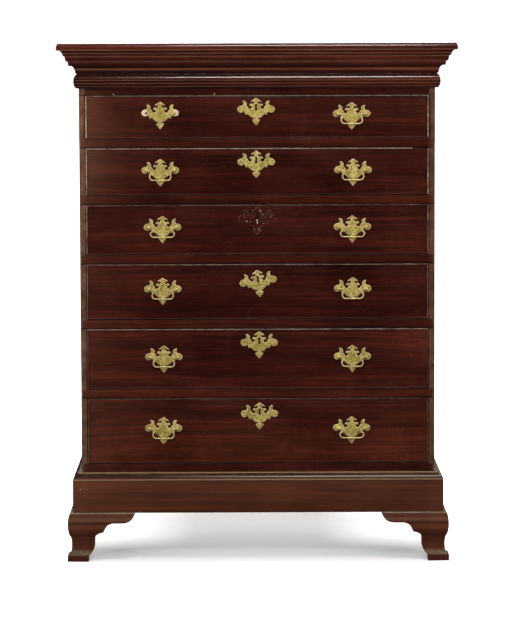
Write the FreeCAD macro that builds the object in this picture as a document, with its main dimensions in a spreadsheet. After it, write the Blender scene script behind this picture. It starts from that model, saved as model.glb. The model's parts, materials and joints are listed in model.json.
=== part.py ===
import FreeCAD, Part
import math
import os
import re
from types import SimpleNamespace

import Sketcher
from FreeCAD import Placement, Rotation, Vector

# Tall chest of six graduated long drawers: a dovetailed case of boards with a moulded top and
# cornice, on a plinth with four ogee bracket feet. The drawers are edged with a cock bead and
# carry pierced brasses with swinging bails, and locks with rising bolts.
#
# Frame: millimetres, +Z up, origin on the floor under the middle of the overall box,
# -Y is the front, +X is the right-hand side as one faces the chest.

SIZES = [
    # the case
    ("case_width", 950, "over the outer faces of the two sides"),
    ("case_depth", 510, "front plane of the case to the back"),
    ("side_thickness", 16, "case sides"),
    ("top_thickness", 18, "top board"),
    ("top_step", 4, "small fillet above the nosing of the top board"),
    ("back_thickness", 12, "back boards"),
    ("back_lap", 8, "rabbet in the sides that the back boards lie in"),
    ("back_board_gap", 0.6, "shrinkage gap between back boards"),
    ("bottom_thickness", 16, "case bottom"),
    ("housing_depth", 6, "housing of the case bottom in the sides"),
    ("blade_height", 23.5, "drawer blades, visible height"),
    ("blade_depth", 62, "drawer blades, front to back"),
    ("blade_tenon", 11, "drawer blades, let into each side from the front"),
    ("runner_width", 24, "drawer runners, side to side"),
    ("rail_thickness", 22, "top rail"),
    ("top_rail_show", 18.15, "top rail between drawer 1 and the cornice"),
    ("bottom_rail_show", 23.65, "bottom rail between drawer 6 and the base moulding"),
    # the base
    ("foot_height", 130, "bracket feet"),
    ("foot_length", 167.6, "bracket feet, from the corner of the plinth"),
    ("foot_bulge", 14.3, "foot, furthest out beyond the plinth's face"),
    ("foot_pad", 16, "straight pad at the bottom of a foot"),
    ("block_width", 16, "glue blocks in the feet"),
    ("block_short", 4, "glue blocks, clear of the floor"),
    ("plinth_height", 89, "plinth boards"),
    ("plinth_thickness", 23.5, "plinth boards"),
    ("moulding_height", 18, "base moulding on the plinth"),
    # the cornice
    ("cornice_height", 101, "cornice moulding under the top board"),
    ("cornice_reach", 57, "overhang of the top board beyond the case"),
    # the drawers
    ("drawer_1_height", 114.5, "front of drawer 1, with its bead"),
    ("drawer_2_height", 125, "front of drawer 2, with its bead"),
    ("drawer_3_height", 133, "front of drawer 3, with its bead"),
    ("drawer_4_height", 148, "front of drawer 4, with its bead"),
    ("drawer_5_height", 161, "front of drawer 5, with its bead"),
    ("drawer_6_height", 175, "front of drawer 6, with its bead"),
    ("drawer_gap", 1.35, "drawer front to its opening, all round"),
    ("front_thickness", 20, "drawer fronts"),
    ("drawer_side", 11, "drawer sides and backs"),
    ("side_drop", 5, "drawer sides, below the top of the front"),
    ("back_drop", 7, "drawer backs, below the top of the sides"),
    ("tail_length", 10, "dovetails of the sides in the front"),
    ("tail_pitch", 48, "dovetails, about how far apart"),
    ("tail_flare", 1.6, "dovetails, wider at the tip than at the root, each side"),
    ("drawer_bottom", 9, "drawer bottoms"),
    ("bottom_lift", 9, "underside of a drawer bottom, above the runner"),
    ("groove_depth", 5, "drawer bottom in the sides and front"),
    ("bead_width", 3, "cock bead, as seen from the front"),
    ("bead_rabbet", 9, "cock bead, depth let into the front"),
    ("bead_proud", 3, "cock bead, proud of the front"),
    ("bead_loss", 43, "length broken off the top bead of drawer 2"),
    # the brasses
    ("handle_offset", 254, "handle plate, from the middle of the chest"),
    ("plate_width", 100, "pierced plates"),
    ("plate_height", 73.6, "pierced plates"),
    ("plate_thickness", 1.2, "pierced plates"),
    ("post_offset", 37.5, "bail posts, from the middle of the plate"),
    ("post_rise", 6, "bail posts, above the middle of the plate"),
    ("post_shank", 4.4, "square shank of a post"),
    ("post_head", 8, "head of a post, across"),
    ("post_reach", 11, "bail's axis, off the drawer front"),
    ("nut_width", 9, "square nuts inside the drawer"),
    ("nut_thickness", 3.5, "square nuts inside the drawer"),
    ("pin_radius", 1.6, "round ends of a bail"),
    ("pin_clearance", 0.08, "bail end in the bore of its post, on the radius"),
    ("bail_rod", 3.6, "bail, across"),
    ("bail_neck", 24, "bail, half width under its pins"),
    ("bail_wide", 31.5, "wide bails, half width"),
    ("bail_narrow", 28, "narrow bails, half width"),
    ("bail_turn", 3.2, "bail, bend under its pins, radius"),
    ("bail_corner", 9, "bail, corner beside its grip, radius"),
    ("bail_drop", 25.5, "bail's axis to the middle of its grip"),
    # the locks
    ("key_drop", 26.4, "keyhole, below the top of the drawer"),
    ("key_above", 17.4, "keyhole, above the middle of its plate"),
    ("key_radius", 2.2, "round part of the keyhole"),
    ("key_length", 14, "keyhole, top to bottom"),
    ("lock_width", 62, "lock case"),
    ("lock_height", 46, "lock case"),
    ("lock_thickness", 9, "lock case, let into the back of the front"),
    ("bolt_width", 22, "lock bolt"),
    ("bolt_thickness", 4, "lock bolt"),
    ("bolt_height", 18, "lock bolt"),
    ("bolt_throw", 8, "lock bolt, rise"),
    ("bolt_clearance", 0.3, "lock bolt in its case, each side"),
    ("mortise_clearance", 1, "lock bolt in the blade above, each side"),
]
S = SimpleNamespace(**{alias: number for alias, number, _ in SIZES})

DRAWERS = range(1, 7)
# how far each hand-set brass stands off its nominal place: left and right handle (x, z),
# key plate (x, extra drop, tilt in degrees)
HANDLE_SHIFT = {
    1: ((-4.5, 4), (-1.5, 1)),
    2: ((-5, -3), (2, -3)),
    3: ((0, 0), (0, 0)),
    4: ((0, 1), (1, 1)),
    5: ((2, -1), (0, -1)),
    6: ((0, 0), (-2, 0)),
}
KEY_SHIFT = {1: (-2.5, 0, 0), 2: (-2.5, 0, 0), 3: (0, 0, 0), 4: (2.5, 9, 7.5), 5: (4, 0, 0), 6: (4.5, 5, 0)}
BARE_KEYHOLE = 3  # this drawer has lost its key plate
BARE_HANDLE = (1, 0)  # drawer 1, left: the plate is there without its bail and its left post
BROKEN_BEAD = 2  # this drawer has lost the right end of its top bead
BROKEN_PLATE = (4, 1)  # drawer 4, right: the plate has lost its lower tip
WIDE_BAILS = {(3, 0), (3, 1), (6, 1)}
SIDE_NAMES = ("left", "right")

doc = FreeCAD.newDocument("Chest")
nodes = []


# ---------------------------------------------------------------- document helpers


def fill_sheet():
    """The driving dimensions, one row each: name, number, meaning."""
    sheet = doc.addObject("Spreadsheet::Sheet", "Sizes")
    for row, (alias, number, meaning) in enumerate(SIZES, start=1):
        sheet.set(f"A{row}", alias)
        sheet.set(f"B{row}", str(number))
        sheet.setAlias(f"B{row}", alias)
        sheet.set(f"C{row}", meaning)
    doc.recompute()


def bind(thing, prop, formula):
    """Ties a property to a formula of the sheet's names."""
    formula = re.sub(r"[a-z][a-z_0-9]*", lambda word: "Sizes." + word.group(), str(formula))
    thing.setExpression(prop, formula)


def place(thing, at, turn=None):
    """Puts a piece at three formulas, turned by a Rotation about its own origin."""
    thing.Placement = Placement(Vector(0, 0, 0), turn or Rotation())
    for axis, formula in zip("xyz", at):
        bind(thing, f"Placement.Base.{axis}", formula)
    return thing


def keep(piece, label):
    """Marks a piece as a sub-part of its own, named label."""
    piece.Label = label
    nodes.append(piece)
    return piece


def box(corner, extent):
    """A board from its lowest corner and its extent along X, Y and Z, all formulas."""
    board = doc.addObject("Part::Box", "Board")
    for prop, formula in zip(("Length", "Width", "Height"), extent):
        bind(board, prop, formula)
    return place(board, corner)


def group(pieces):
    bunch = doc.addObject("Part::Compound", "Group")
    bunch.Links = pieces
    return bunch


def fuse(pieces):
    joined = doc.addObject("Part::MultiFuse", "Fuse")
    joined.Shapes = pieces
    joined.Refine = True
    return joined


def cut(base, tools):
    """base with each tool's shape taken out of it."""
    for tool in tools:
        taken = doc.addObject("Part::Cut", "Cut")
        taken.Base = base
        taken.Tool = tool
        base = taken
    return base


def new_body():
    return doc.addObject("PartDesign::Body", "Body")


def empty_sketch(body, role, offset=0):
    """A sketch on one of the body's origin planes, moved by offset along the plane's normal."""
    sketch = body.newObject("Sketcher::SketchObject", "Sketch")
    plane = next(f for f in body.Origin.OriginFeatures if f.Role == role)
    sketch.AttachmentSupport = (plane, [""])
    sketch.MapMode = "FlatFace"
    sketch.AttachmentOffset = Placement(Vector(0, 0, offset), Rotation())
    return sketch


def sketch_on(body, role, start, steps, outlines=(), offset=0):
    """A sketch of closed outlines; see draw."""
    sketch = empty_sketch(body, role, offset)
    draw(sketch, start, steps)
    for outline in outlines:
        draw(sketch, *outline)
    return sketch


def shares(points, across, up):
    """Points, and (point on the arc, end point) pairs, given in shares of two sizes."""
    made = []
    for step in points:
        if isinstance(step[0], tuple):
            made.append(tuple((x * across, z * up) for x, z in step))
        else:
            made.append((step[0] * across, step[1] * up))
    return made


def regular(across, sides):
    """Corners of a regular polygon, given its size across the flats."""
    radius = across / 2 / math.cos(math.pi / sides)
    angles = [math.pi * (2 * k + 1) / sides for k in range(sides)]
    return [(radius * math.cos(a), radius * math.sin(a)) for a in angles]


def draw(sketch, start, steps):
    """An outline from start: each step is an end point, or (point on the arc, end point)."""
    here = Vector(*start, 0)
    for step in list(steps) + [start]:
        if isinstance(step[0], tuple):
            end = Vector(*step[1], 0)
            sketch.addGeometry(Part.Arc(here, Vector(*step[0], 0), end))
        else:
            end = Vector(*step, 0)
            if end.distanceToPoint(here) < 1e-6:
                continue
            sketch.addGeometry(Part.LineSegment(here, end))
        here = end


def pad(body, sketch, length, symmetric=False, flip=False):
    feature = body.newObject("PartDesign::Pad", "Pad")
    feature.Profile = sketch
    bind(feature, "Length", length)
    feature.SideType = "Symmetric" if symmetric else "One side"
    feature.Reversed = flip
    return feature


def pocket_through(body, sketch):
    """Cuts the sketch's outlines right through, both ways."""
    feature = body.newObject("PartDesign::Pocket", "Pocket")
    feature.Profile = sketch
    feature.Type = "ThroughAll"
    feature.SideType = "Symmetric"
    return feature


# ---------------------------------------------------------------- levels and planes

FRONT = "(cornice_reach - case_depth) / 2"
BACK = "(cornice_reach + case_depth) / 2"
INNER = "(case_width / 2 - side_thickness)"
DRAWER_HALF = f"({INNER} - drawer_gap)"
DRAWER_LENGTH = "(case_depth - back_thickness)"
PLINTH_TOP = "(foot_height + plinth_height)"


def floor_of(number):
    """Level that drawer number runs on: the top of the blade and runners under it."""
    level = f"{PLINTH_TOP} + moulding_height + bottom_rail_show"
    for below in range(DRAWERS[-1], number, -1):
        level += f" + drawer_{below}_height + 2 * drawer_gap + blade_height"
    return f"({level})"


OPENINGS_TOP = f"({floor_of(1)} + drawer_1_height + 2 * drawer_gap)"
CORNICE_FOOT = f"({OPENINGS_TOP} + top_rail_show)"
TOP_UNDERSIDE = f"({CORNICE_FOOT} + cornice_height)"
BOTTOM_TOP = f"({floor_of(DRAWERS[-1])} - blade_height)"
BOTTOM_UNDERSIDE = f"({BOTTOM_TOP} - bottom_thickness)"

CORNICE_TOP = 0.88  # reach of the cornice under the top board, as a share of the board's

TURN_LEFT = Rotation(Vector(0, 0, 1), -90)  # a piece that faced -Y now faces -X
TURN_RIGHT = Rotation(Vector(0, 0, 1), 90)  # a piece that faced -Y now faces +X
TURN_BACK = Rotation(Vector(0, 0, 1), 180)  # a piece that faced -Y now faces +Y


# ---------------------------------------------------------------- case


def bolt_mortise(level, number):
    """Space for the bolt of drawer number in the rail over it, whose underside is at level."""
    shift, drop, _ = KEY_SHIFT[number]
    half = "(bolt_width / 2 + mortise_clearance)"
    corner = (f"{shift} - {half}", f"{FRONT} + {BOLT_FRONT} - mortise_clearance", level)
    return box(corner, (f"2 * {half}", "bolt_thickness + 2 * mortise_clearance", "bolt_throw"))


def blades_and_rail():
    """Five drawer blades and the bottom rail; their ends show on the front edges of the sides."""
    half = f"({INNER} + blade_tenon)"
    extent = (f"2 * {half}", "blade_depth", "blade_height")
    blades = []
    for number in DRAWERS:
        level = f"{floor_of(number)} - blade_height"
        blade = box((f"-{half}", FRONT, level), extent)
        if number < DRAWERS[-1]:
            blade = cut(blade, [bolt_mortise(level, number + 1)])
        blades.append(blade)
    return keep(group(blades), "drawer_blades")


def top_rail():
    corner = (f"-{INNER}", FRONT, OPENINGS_TOP)
    extent = (f"2 * {INNER}", "rail_thickness", f"{TOP_UNDERSIDE} - {OPENINGS_TOP}")
    return keep(cut(box(corner, extent), [bolt_mortise(OPENINGS_TOP, 1)]), "top_rail")


def bottom_board():
    half = f"({INNER} + housing_depth)"
    extent = (f"2 * {half}", f"{DRAWER_LENGTH}", "bottom_thickness")
    return keep(box((f"-{half}", FRONT, BOTTOM_UNDERSIDE), extent), "bottom_board")


def case_side(label, left, blades, bottom):
    """Side board with notches for the blades, a housing for the bottom and a rabbet for the back."""
    outer = "-case_width / 2" if left else INNER
    lap = f"-{INNER} - back_lap" if left else INNER
    rise = f"{TOP_UNDERSIDE} - foot_height"
    board = box((outer, FRONT, "foot_height"), ("side_thickness", "case_depth", rise))
    rabbet = box((lap, f"{BACK} - back_thickness", "foot_height"), ("back_lap", "back_thickness", rise))
    return keep(cut(board, [blades, bottom, rabbet]), label)


def back_boards():
    """Wide boards lying in the rabbets of the sides."""
    count = 4
    half = f"({INNER} + back_lap)"
    pitch = f"({TOP_UNDERSIDE} - {BOTTOM_UNDERSIDE}) / {count}"
    extent = (f"2 * {half}", "back_thickness", f"{pitch} - back_board_gap")
    boards = []
    for index in range(count):
        level = f"{BOTTOM_UNDERSIDE} + back_board_gap + {index} * {pitch}"
        boards.append(box((f"-{half}", f"{BACK} - back_thickness", level), extent))
    return keep(group(boards), "back_boards")


def runners():
    """A runner on each side of every opening, level with the top of its blade."""
    extent = ("runner_width", f"{DRAWER_LENGTH} - blade_depth", "blade_height")
    strips = []
    for number in DRAWERS:
        level = f"{floor_of(number)} - blade_height"
        for x in (f"-{INNER}", f"{INNER} - runner_width"):
            strips.append(box((x, f"{FRONT} + blade_depth", level), extent))
    return keep(group(strips), "drawer_runners")


def top_board():
    """Top with a nosed edge on the front and both ends: the overlap of two extruded profiles."""
    thick, step = S.top_thickness, S.top_step
    tuck = (1 - CORNICE_TOP) * S.cornice_reach

    def nosing(sign, face):
        """The moulded edge beyond a face of the case, from the underside up."""
        low, belly, high = (sign * (face + S.cornice_reach - inset) for inset in (tuck, 0, step))
        return [(low, 0), ((belly, 0.44 * (thick - step)), (high, thick - step)), (high, thick)]

    near = (S.case_depth - S.cornice_reach) / 2
    back = near + S.cornice_reach
    front = new_body()
    edge = nosing(-1, near)
    profile = sketch_on(front, "YZ_Plane", edge[0], edge[1:] + [(back, thick), (back, 0)])
    pad(front, profile, "case_width + 2 * cornice_reach", symmetric=True)

    ends = new_body()
    left, right = (nosing(sign, S.case_width / 2) for sign in (-1, 1))
    (belly, shoulder), brim = right[1:]
    profile = sketch_on(ends, "XZ_Plane", left[0], left[1:] + [brim, shoulder, (belly, right[0])])
    pad(ends, profile, "case_depth + cornice_reach", symmetric=True)

    board = doc.addObject("Part::MultiCommon", "Common")
    for body in (front, ends):
        place(body, ("0", "0", TOP_UNDERSIDE))
    board.Shapes = [front, ends]
    return keep(board, "top_board")


# ---------------------------------------------------------------- mouldings and plinth


def moulding_length(profile, reach, length, mitres, at, turn=None):
    """A length of moulding facing -Y, its back on y = 0, with 45 degree mitres at the ends
    named in mitres (-1 left, +1 right). profile is (start, steps) in (-reach..0, z)."""
    body = new_body()
    pad(body, sketch_on(body, "YZ_Plane", *profile), length[0], symmetric=True)
    half = length[1] / 2
    spare = 5
    corners = []
    for side in mitres:
        tip = (side * (half + spare), -reach - spare)
        heel = (side * (half - reach - spare), spare)
        corners.append((tip, [heel, (side * (half + spare), spare)]))
    pocket_through(body, sketch_on(body, "XY_Plane", *corners[0], outlines=corners[1:]))
    return place(body, at, turn)


def three_lengths(profile, reach_name, level):
    """Front length and two returns round the case, mitred at the front corners."""
    reach = getattr(S, reach_name)
    front_length = (f"case_width + 2 * {reach_name}", S.case_width + 2 * reach)
    side_length = (f"case_depth + {reach_name}", S.case_depth + reach)
    middle = f"(cornice_reach - {reach_name}) / 2"
    front = moulding_length(profile, reach, front_length, (-1, 1), ("0", FRONT, level))
    left = moulding_length(profile, reach, side_length, (1,), ("-case_width / 2", middle, level), TURN_LEFT)
    right = moulding_length(profile, reach, side_length, (-1,), ("case_width / 2", middle, level), TURN_RIGHT)
    return front, left, right


def cornice_profile():
    """From the case up: torus, deep cove, fillet, ovolo, fillet and cavetto under the top."""
    steps = [
        (-0.13, 0),
        ((-0.265, 0.155), (-0.165, 0.29)),
        (-0.15, 0.32),
        ((-0.18, 0.46), (-0.34, 0.585)),
        (-0.465, 0.585),
        (-0.49, 0.7),
        (-0.58, 0.7),
        ((-0.62, 0.75), (-0.63, 0.82)),
        (-0.7, 0.83),
        ((-0.755, 0.925), (-CORNICE_TOP, 1)),
        (0, 1),
    ]
    return (0, 0), shares(steps, S.cornice_reach, S.cornice_height)


def cornice():
    lengths = three_lengths(cornice_profile(), "cornice_reach", CORNICE_FOOT)
    for piece, side in zip(lengths, ("front", "left", "right")):
        keep(piece, f"cornice_{side}")


def plinth():
    """Three mitred boards round the foot of the case."""
    thick, tall = -S.plinth_thickness, S.plinth_height
    profile = ((0, 0), [(thick, 0), (thick, tall), (0, tall)])
    keep(group(list(three_lengths(profile, "plinth_thickness", "foot_height"))), "plinth")


def base_moulding():
    """Ovolo, fillet, shallow cove and top fillet, from the plinth's face in to the case."""
    steps = [
        (-1, 0),
        ((-0.93, 0.22), (-0.74, 0.4)),
        (-0.65, 0.43),
        ((-0.55, 0.58), (-0.52, 0.8)),
        (-0.45, 0.83),
        (-0.45, 1),
        (0, 1),
    ]
    profile = ((0, 0), shares(steps, S.plinth_thickness, S.moulding_height))
    keep(group(list(three_lengths(profile, "plinth_thickness", PLINTH_TOP))), "base_moulding")


# ---------------------------------------------------------------- feet


def foot_scroll(hand):
    """The opening under a bracket, in (x, z) from the plinth's corner: what is sawn away."""
    low, far = -0.08, 1.06
    steps = [
        (0.975, 0.93),
        (0.92, 0.845),
        (0.85, 0.805),
        (0.65, 0.8),
        (0.58, 0.77),
        (0.53, 0.71),
        (0.489, 0.607),
        (0.42, 0.583),
        (0.365, 0.525),
        (0.35, 0.34),
        (0.322, 0.22),
        (0.253, S.foot_pad / S.foot_height),
        (0.25, low),
        (far, low),
        (far, 1),
    ]
    steps = shares(steps, hand * S.foot_length, S.foot_height)
    return (hand * S.foot_length, S.foot_height), steps


def ogee_profile():
    """Section of an ogee bracket, in (-out, z): pad, hollow ankle and round knee."""
    far = S.plinth_thickness + S.foot_bulge
    curve = [
        (-0.965, 0.135),
        ((-0.7, 0.346), (-0.857, 0.546)),
        ((-0.99, 0.74), (-0.64, 1)),
        (0, 1),
    ]
    return (0, 0), [(-far, 0), (-far, S.foot_pad)] + shares(curve, far, S.foot_height)


def bracket(hand, mitred, at, turn=None, plain=False):
    """One side of a foot, facing -Y, with the plinth's corner at x = 0; hand +1 runs to +X.
    A plain bracket is a flat board that butts against the inside of its neighbour."""
    body = new_body()
    thick, tall = S.plinth_thickness, S.foot_height
    if plain:
        profile = sketch_on(body, "YZ_Plane", (0, 0), [(-thick, 0), (-thick, tall), (0, tall)])
    else:
        profile = sketch_on(body, "YZ_Plane", *ogee_profile())
    pad(body, profile, "2 * foot_length", symmetric=True)
    spare = 5
    reach = thick + S.foot_bulge
    far = -hand * (S.foot_length + spare)
    if mitred:
        tip = (-hand * (S.foot_bulge + spare), -reach - spare)
        heel = (hand * (thick + spare), spare)
        corner = (tip, [heel, (far, spare), (far, -reach - spare)])
    else:
        near = hand * thick if plain else 0
        corner = ((near, spare), [(near, -reach - spare), (far, -reach - spare), (far, spare)])
    pocket_through(body, sketch_on(body, "XY_Plane", *corner))
    pocket_through(body, sketch_on(body, "XZ_Plane", *foot_scroll(hand)))
    return place(body, at, turn)


def feet():
    """Front feet: two mitred ogee brackets. Rear feet: an ogee bracket and a plain one behind."""
    corner_x = "(case_width / 2 + plinth_thickness)"
    corner_y = f"{FRONT} - plinth_thickness"
    for hand, side, turn in ((1, "left", TURN_LEFT), (-1, "right", TURN_RIGHT)):
        sign = -hand
        face_x = f"{sign} * case_width / 2"
        across = bracket(hand, True, (f"{sign} * {corner_x}", FRONT, "0"))
        along = bracket(-hand, True, (face_x, corner_y, "0"), turn)
        keep(group([across, along]), f"foot_front_{side}")
        along = bracket(hand, False, (face_x, BACK, "0"), turn)
        behind = f"{BACK} - plinth_thickness"
        across = bracket(-hand, False, (f"{sign} * {corner_x}", behind, "0"), TURN_BACK, plain=True)
        keep(group([along, across]), f"foot_rear_{side}")


def foot_blocks():
    """An upright glue block in the corner of each foot."""
    extent = ("block_width", "block_width", "foot_height - block_short")
    blocks = []
    for x in ("-case_width / 2", "case_width / 2 - block_width"):
        for y in (FRONT, f"{BACK} - plinth_thickness - block_width"):
            blocks.append(box((x, y, "block_short"), extent))
    keep(group(blocks), "foot_blocks")


# ---------------------------------------------------------------- drawers

BOLT_FRONT = "(front_thickness - lock_thickness / 2 - bolt_thickness / 2)"


def drawer_side(number, x):
    """Side of a drawer, with dovetails at its front end: x is a formula of its lower X face."""
    body = new_body()
    height = getattr(S, f"drawer_{number}_height") + S.drawer_gap - S.side_drop
    root = S.front_thickness
    tip = root - S.tail_length
    end = S.case_depth - S.back_thickness
    count = max(2, round(height / S.tail_pitch))
    pitch = height / count
    half = 0.27 * pitch
    steps = []
    for index in range(count):
        middle = (index + 0.5) * pitch
        steps += [
            (root, middle - half),
            (tip, middle - half - S.tail_flare),
            (tip, middle + half + S.tail_flare),
            (root, middle + half),
        ]
    steps += [(root, height), (end, height), (end, 0)]
    pad(body, sketch_on(body, "YZ_Plane", (root, 0), steps), "drawer_side")
    return place(body, (x, FRONT, floor_of(number)))


def drawer_box(number):
    """Sides, back and bottom of a drawer, and the cutting shapes that its front needs."""
    floor = floor_of(number)
    half = f"({DRAWER_HALF} - drawer_side + groove_depth)"
    bottom = box(
        (f"-{half}", f"{FRONT} + front_thickness - groove_depth", f"{floor} + bottom_lift"),
        (f"2 * {half}", f"{DRAWER_LENGTH} - front_thickness + groove_depth", "drawer_bottom"),
    )
    back_foot = "(bottom_lift + drawer_bottom)"
    side_top = f"(drawer_{number}_height + drawer_gap - side_drop)"
    back = box(
        (f"-{half}", f"{FRONT} + {DRAWER_LENGTH} - 2 * drawer_side", f"{floor} + {back_foot}"),
        (f"2 * {half}", "drawer_side", f"{side_top} - back_drop - {back_foot}"),
    )
    blanks = [drawer_side(number, x) for x in (f"-{DRAWER_HALF}", f"{DRAWER_HALF} - drawer_side")]
    sides = [cut(blank, [bottom, back]) for blank in blanks]
    keep(group(sides + [back, bottom]), f"drawer_{number}_box")
    return blanks + [bottom]


def keyhole(number, deep):
    """Cutting shape of a drawer's keyhole, deep (a formula) from end to end."""
    body = new_body()
    ring = regular(2 * S.key_radius, 8)
    foot = S.key_radius - S.key_length
    waist, spread = 0.6 * S.key_radius, 1.1 * S.key_radius
    slot = [(-waist, -S.key_radius), (-spread, foot), (spread, foot), (waist, -S.key_radius)]
    outline = ring[-1:] + ring[:5] + slot
    pad(body, sketch_on(body, "XZ_Plane", outline[0], outline[1:]), deep, symmetric=True)
    shift, drop, tilt = KEY_SHIFT[number]
    level = f"{floor_of(number)} + drawer_gap + drawer_{number}_height - key_drop - {drop}"
    return place(body, (f"{shift}", FRONT, level), Rotation(Vector(0, 1, 0), -tilt))


def drawer_front(number, tools):
    """Front board, rabbeted round its face for the bead, cut for everything let into it."""
    foot = f"{floor_of(number)} + drawer_gap"
    height = f"drawer_{number}_height"
    backing = box(
        (f"-{DRAWER_HALF}", f"{FRONT} + bead_rabbet", foot),
        (f"2 * {DRAWER_HALF}", "front_thickness - bead_rabbet", height),
    )
    field = box(
        (f"-{DRAWER_HALF} + bead_width", FRONT, f"{foot} + bead_width"),
        (f"2 * {DRAWER_HALF} - 2 * bead_width", "bead_rabbet", f"{height} - 2 * bead_width"),
    )
    keep(cut(fuse([backing, field]), tools), f"drawer_{number}_front")


def bead_strip(length, number_length, at, roll, lost=0):
    """A strip of cock bead along X, its outer edge on z = 0, mitred at both ends; lost
    millimetres are broken off its -X end."""
    body = new_body()
    wide, deep, proud = S.bead_width, S.bead_rabbet, S.bead_proud
    nose = proud - wide / 2
    steps = [(-nose, 0), (-proud, 0.3 * wide), (-proud, 0.7 * wide), (-nose, wide), (deep, wide)]
    pad(body, sketch_on(body, "YZ_Plane", (deep, 0), steps), length, symmetric=True)
    half = number_length / 2
    corners = []
    for side in (-1, 1):
        tip = (side * (half + 1), -1)
        corners.append((tip, [(side * (half - wide - 1), wide + 1), (side * (half + 1), wide + 1)]))
    if lost:
        corners[0] = ((-half - 1, -1), [(-half + lost, -1), (-half + lost, wide + 1), (-half - 1, wide + 1)])
    pocket_through(body, sketch_on(body, "XZ_Plane", *corners[0], outlines=corners[1:]))
    return place(body, at, Rotation(Vector(0, 1, 0), roll))


def drawer_bead(number):
    """Four mitred strips of cock bead round a drawer front."""
    foot = f"{floor_of(number)} + drawer_gap"
    height = f"drawer_{number}_height"
    tall = getattr(S, height)
    wide = S.case_width - 2 * S.side_thickness - 2 * S.drawer_gap
    width = f"2 * {DRAWER_HALF}"
    lost = S.bead_loss if number == BROKEN_BEAD else 0
    middle = f"{foot} + {height} / 2"
    strips = [
        bead_strip(width, wide, ("0", FRONT, foot), 0),
        bead_strip(width, wide, ("0", FRONT, f"{foot} + {height}"), 180, lost),
        bead_strip(height, tall, (f"-{DRAWER_HALF}", FRONT, middle), 90),
        bead_strip(height, tall, (DRAWER_HALF, FRONT, middle), -90),
    ]
    keep(group(strips), f"drawer_{number}_bead")


# ---------------------------------------------------------------- brasses


def plate_outline(tipless=False):
    """Half of the pierced bat-wing outline, from the crown round to the lower tip, in shares
    of the plate's half width and half height."""
    half = [
        (0.0, 1.0), (0.13, 0.87), (0.25, 0.76), (0.11, 0.65), (0.35, 0.5), (0.25, 0.3), (0.38, 0.2),
        (0.53, 0.48), (0.56, 0.75), (0.71, 0.78), (0.68, 0.5), (0.93, 0.36), (1.0, 0.16), (0.9, -0.05),
        (0.62, 0.01), (0.54, -0.24), (0.27, -0.44), (0.09, -0.55),
    ]  # fmt: skip
    return half + ([(0.0, -0.56)] if tipless else [(0.25, -0.64), (0.0, -1.0)])


def plate(at, turn=None, tipless=False):
    """A pierced brass plate, its back on y = 0, centred on x = z = 0."""
    body = new_body()
    wide, tall = S.plate_width / 2, S.plate_height / 2
    half = [(x * wide, z * tall) for x, z in plate_outline(tipless)]
    mirrored = [(-x, z) for x, z in reversed(half[1:-1])]
    profile = sketch_on(body, "XZ_Plane", half[0], half[1:] + mirrored)
    pad(body, profile, "plate_thickness")
    return place(body, at, turn)


def post(x, z):
    """A cast post: a head bored for the bail, a square shank through plate and front, its nut."""
    body = new_body()
    ring = regular(S.post_head, 8)
    head = sketch_on(body, "XZ_Plane", ring[0], ring[1:], offset=S.plate_thickness)
    pad(body, head, "post_reach + post_head / 2 - plate_thickness")
    square = regular(S.post_shank, 4)
    shank = sketch_on(body, "XZ_Plane", square[0], square[1:], offset=S.plate_thickness)
    pad(body, shank, "plate_thickness + front_thickness", flip=True)
    square = regular(S.nut_width, 4)
    nut = sketch_on(body, "XZ_Plane", square[0], square[1:], offset=-S.front_thickness)
    pad(body, nut, "nut_thickness", flip=True)
    bore = [(y - S.post_reach, z) for y, z in regular(2 * (S.pin_radius + S.pin_clearance), 8)]
    pocket_through(body, sketch_on(body, "YZ_Plane", bore[0], bore[1:]))
    return place(body, (x, FRONT, z))


def handle_place(number, side):
    """Formulas of the x and z of a handle plate's middle."""
    shift_x, shift_z = HANDLE_SHIFT[number][side]
    sign = -1 if side == 0 else 1
    x = f"({sign} * handle_offset + {shift_x})"
    z = f"({floor_of(number)} + drawer_gap + drawer_{number}_height / 2 + {shift_z})"
    return x, z


def brasses(number):
    """Fixed metalwork of a drawer: plates, posts and nuts, key plate and lock. Returns what the
    front has to be cut for."""
    plates, posts, shanks = [], [], []
    for side in (0, 1):
        x, z = handle_place(number, side)
        blank = plate((x, FRONT, z), tipless=(number, side) == BROKEN_PLATE)
        pair = [post(f"{x} + {sign} * post_offset", f"{z} + post_rise") for sign in (-1, 1)]
        plates.append(cut(blank, pair))
        posts += pair[1:] if (number, side) == BARE_HANDLE else pair
        shanks += pair
    fixed = plates + posts
    if number != BARE_KEYHOLE:
        shift, drop, tilt = KEY_SHIFT[number]
        top = f"{floor_of(number)} + drawer_gap + drawer_{number}_height"
        at = (f"{shift}", FRONT, f"{top} - key_drop - {drop} - key_above")
        blank = plate(at, Rotation(Vector(0, 1, 0), -tilt))
        fixed.append(cut(blank, [keyhole(number, "4 * plate_thickness")]))
    lock = lock_case(number)
    keep(group(fixed + [lock]), f"drawer_{number}_brasses")
    return shanks + [lock_blank(number)]


def lock_box(number, wider, extent_z, from_top):
    """A block centred on the drawer's key line, its top from_top below the top of the front."""
    shift = KEY_SHIFT[number][0]
    top = f"{floor_of(number)} + drawer_gap + drawer_{number}_height - {from_top}"
    corner = (
        f"{shift} - {wider[0]} / 2",
        f"{FRONT} + front_thickness - lock_thickness / 2 - {wider[1]} / 2",
        f"{top} - {extent_z}",
    )
    return box(corner, (wider[0], wider[1], extent_z))


def lock_blank(number):
    return lock_box(number, ("lock_width", "lock_thickness"), "lock_height", "0")


def lock_case(number):
    """Lock with an open slot at its top, in which the bolt stands."""
    slot = ("(bolt_width + 2 * bolt_clearance)", "(bolt_thickness + 2 * bolt_clearance)")
    return cut(lock_blank(number), [lock_box(number, slot, "bolt_height", "0")])


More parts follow.
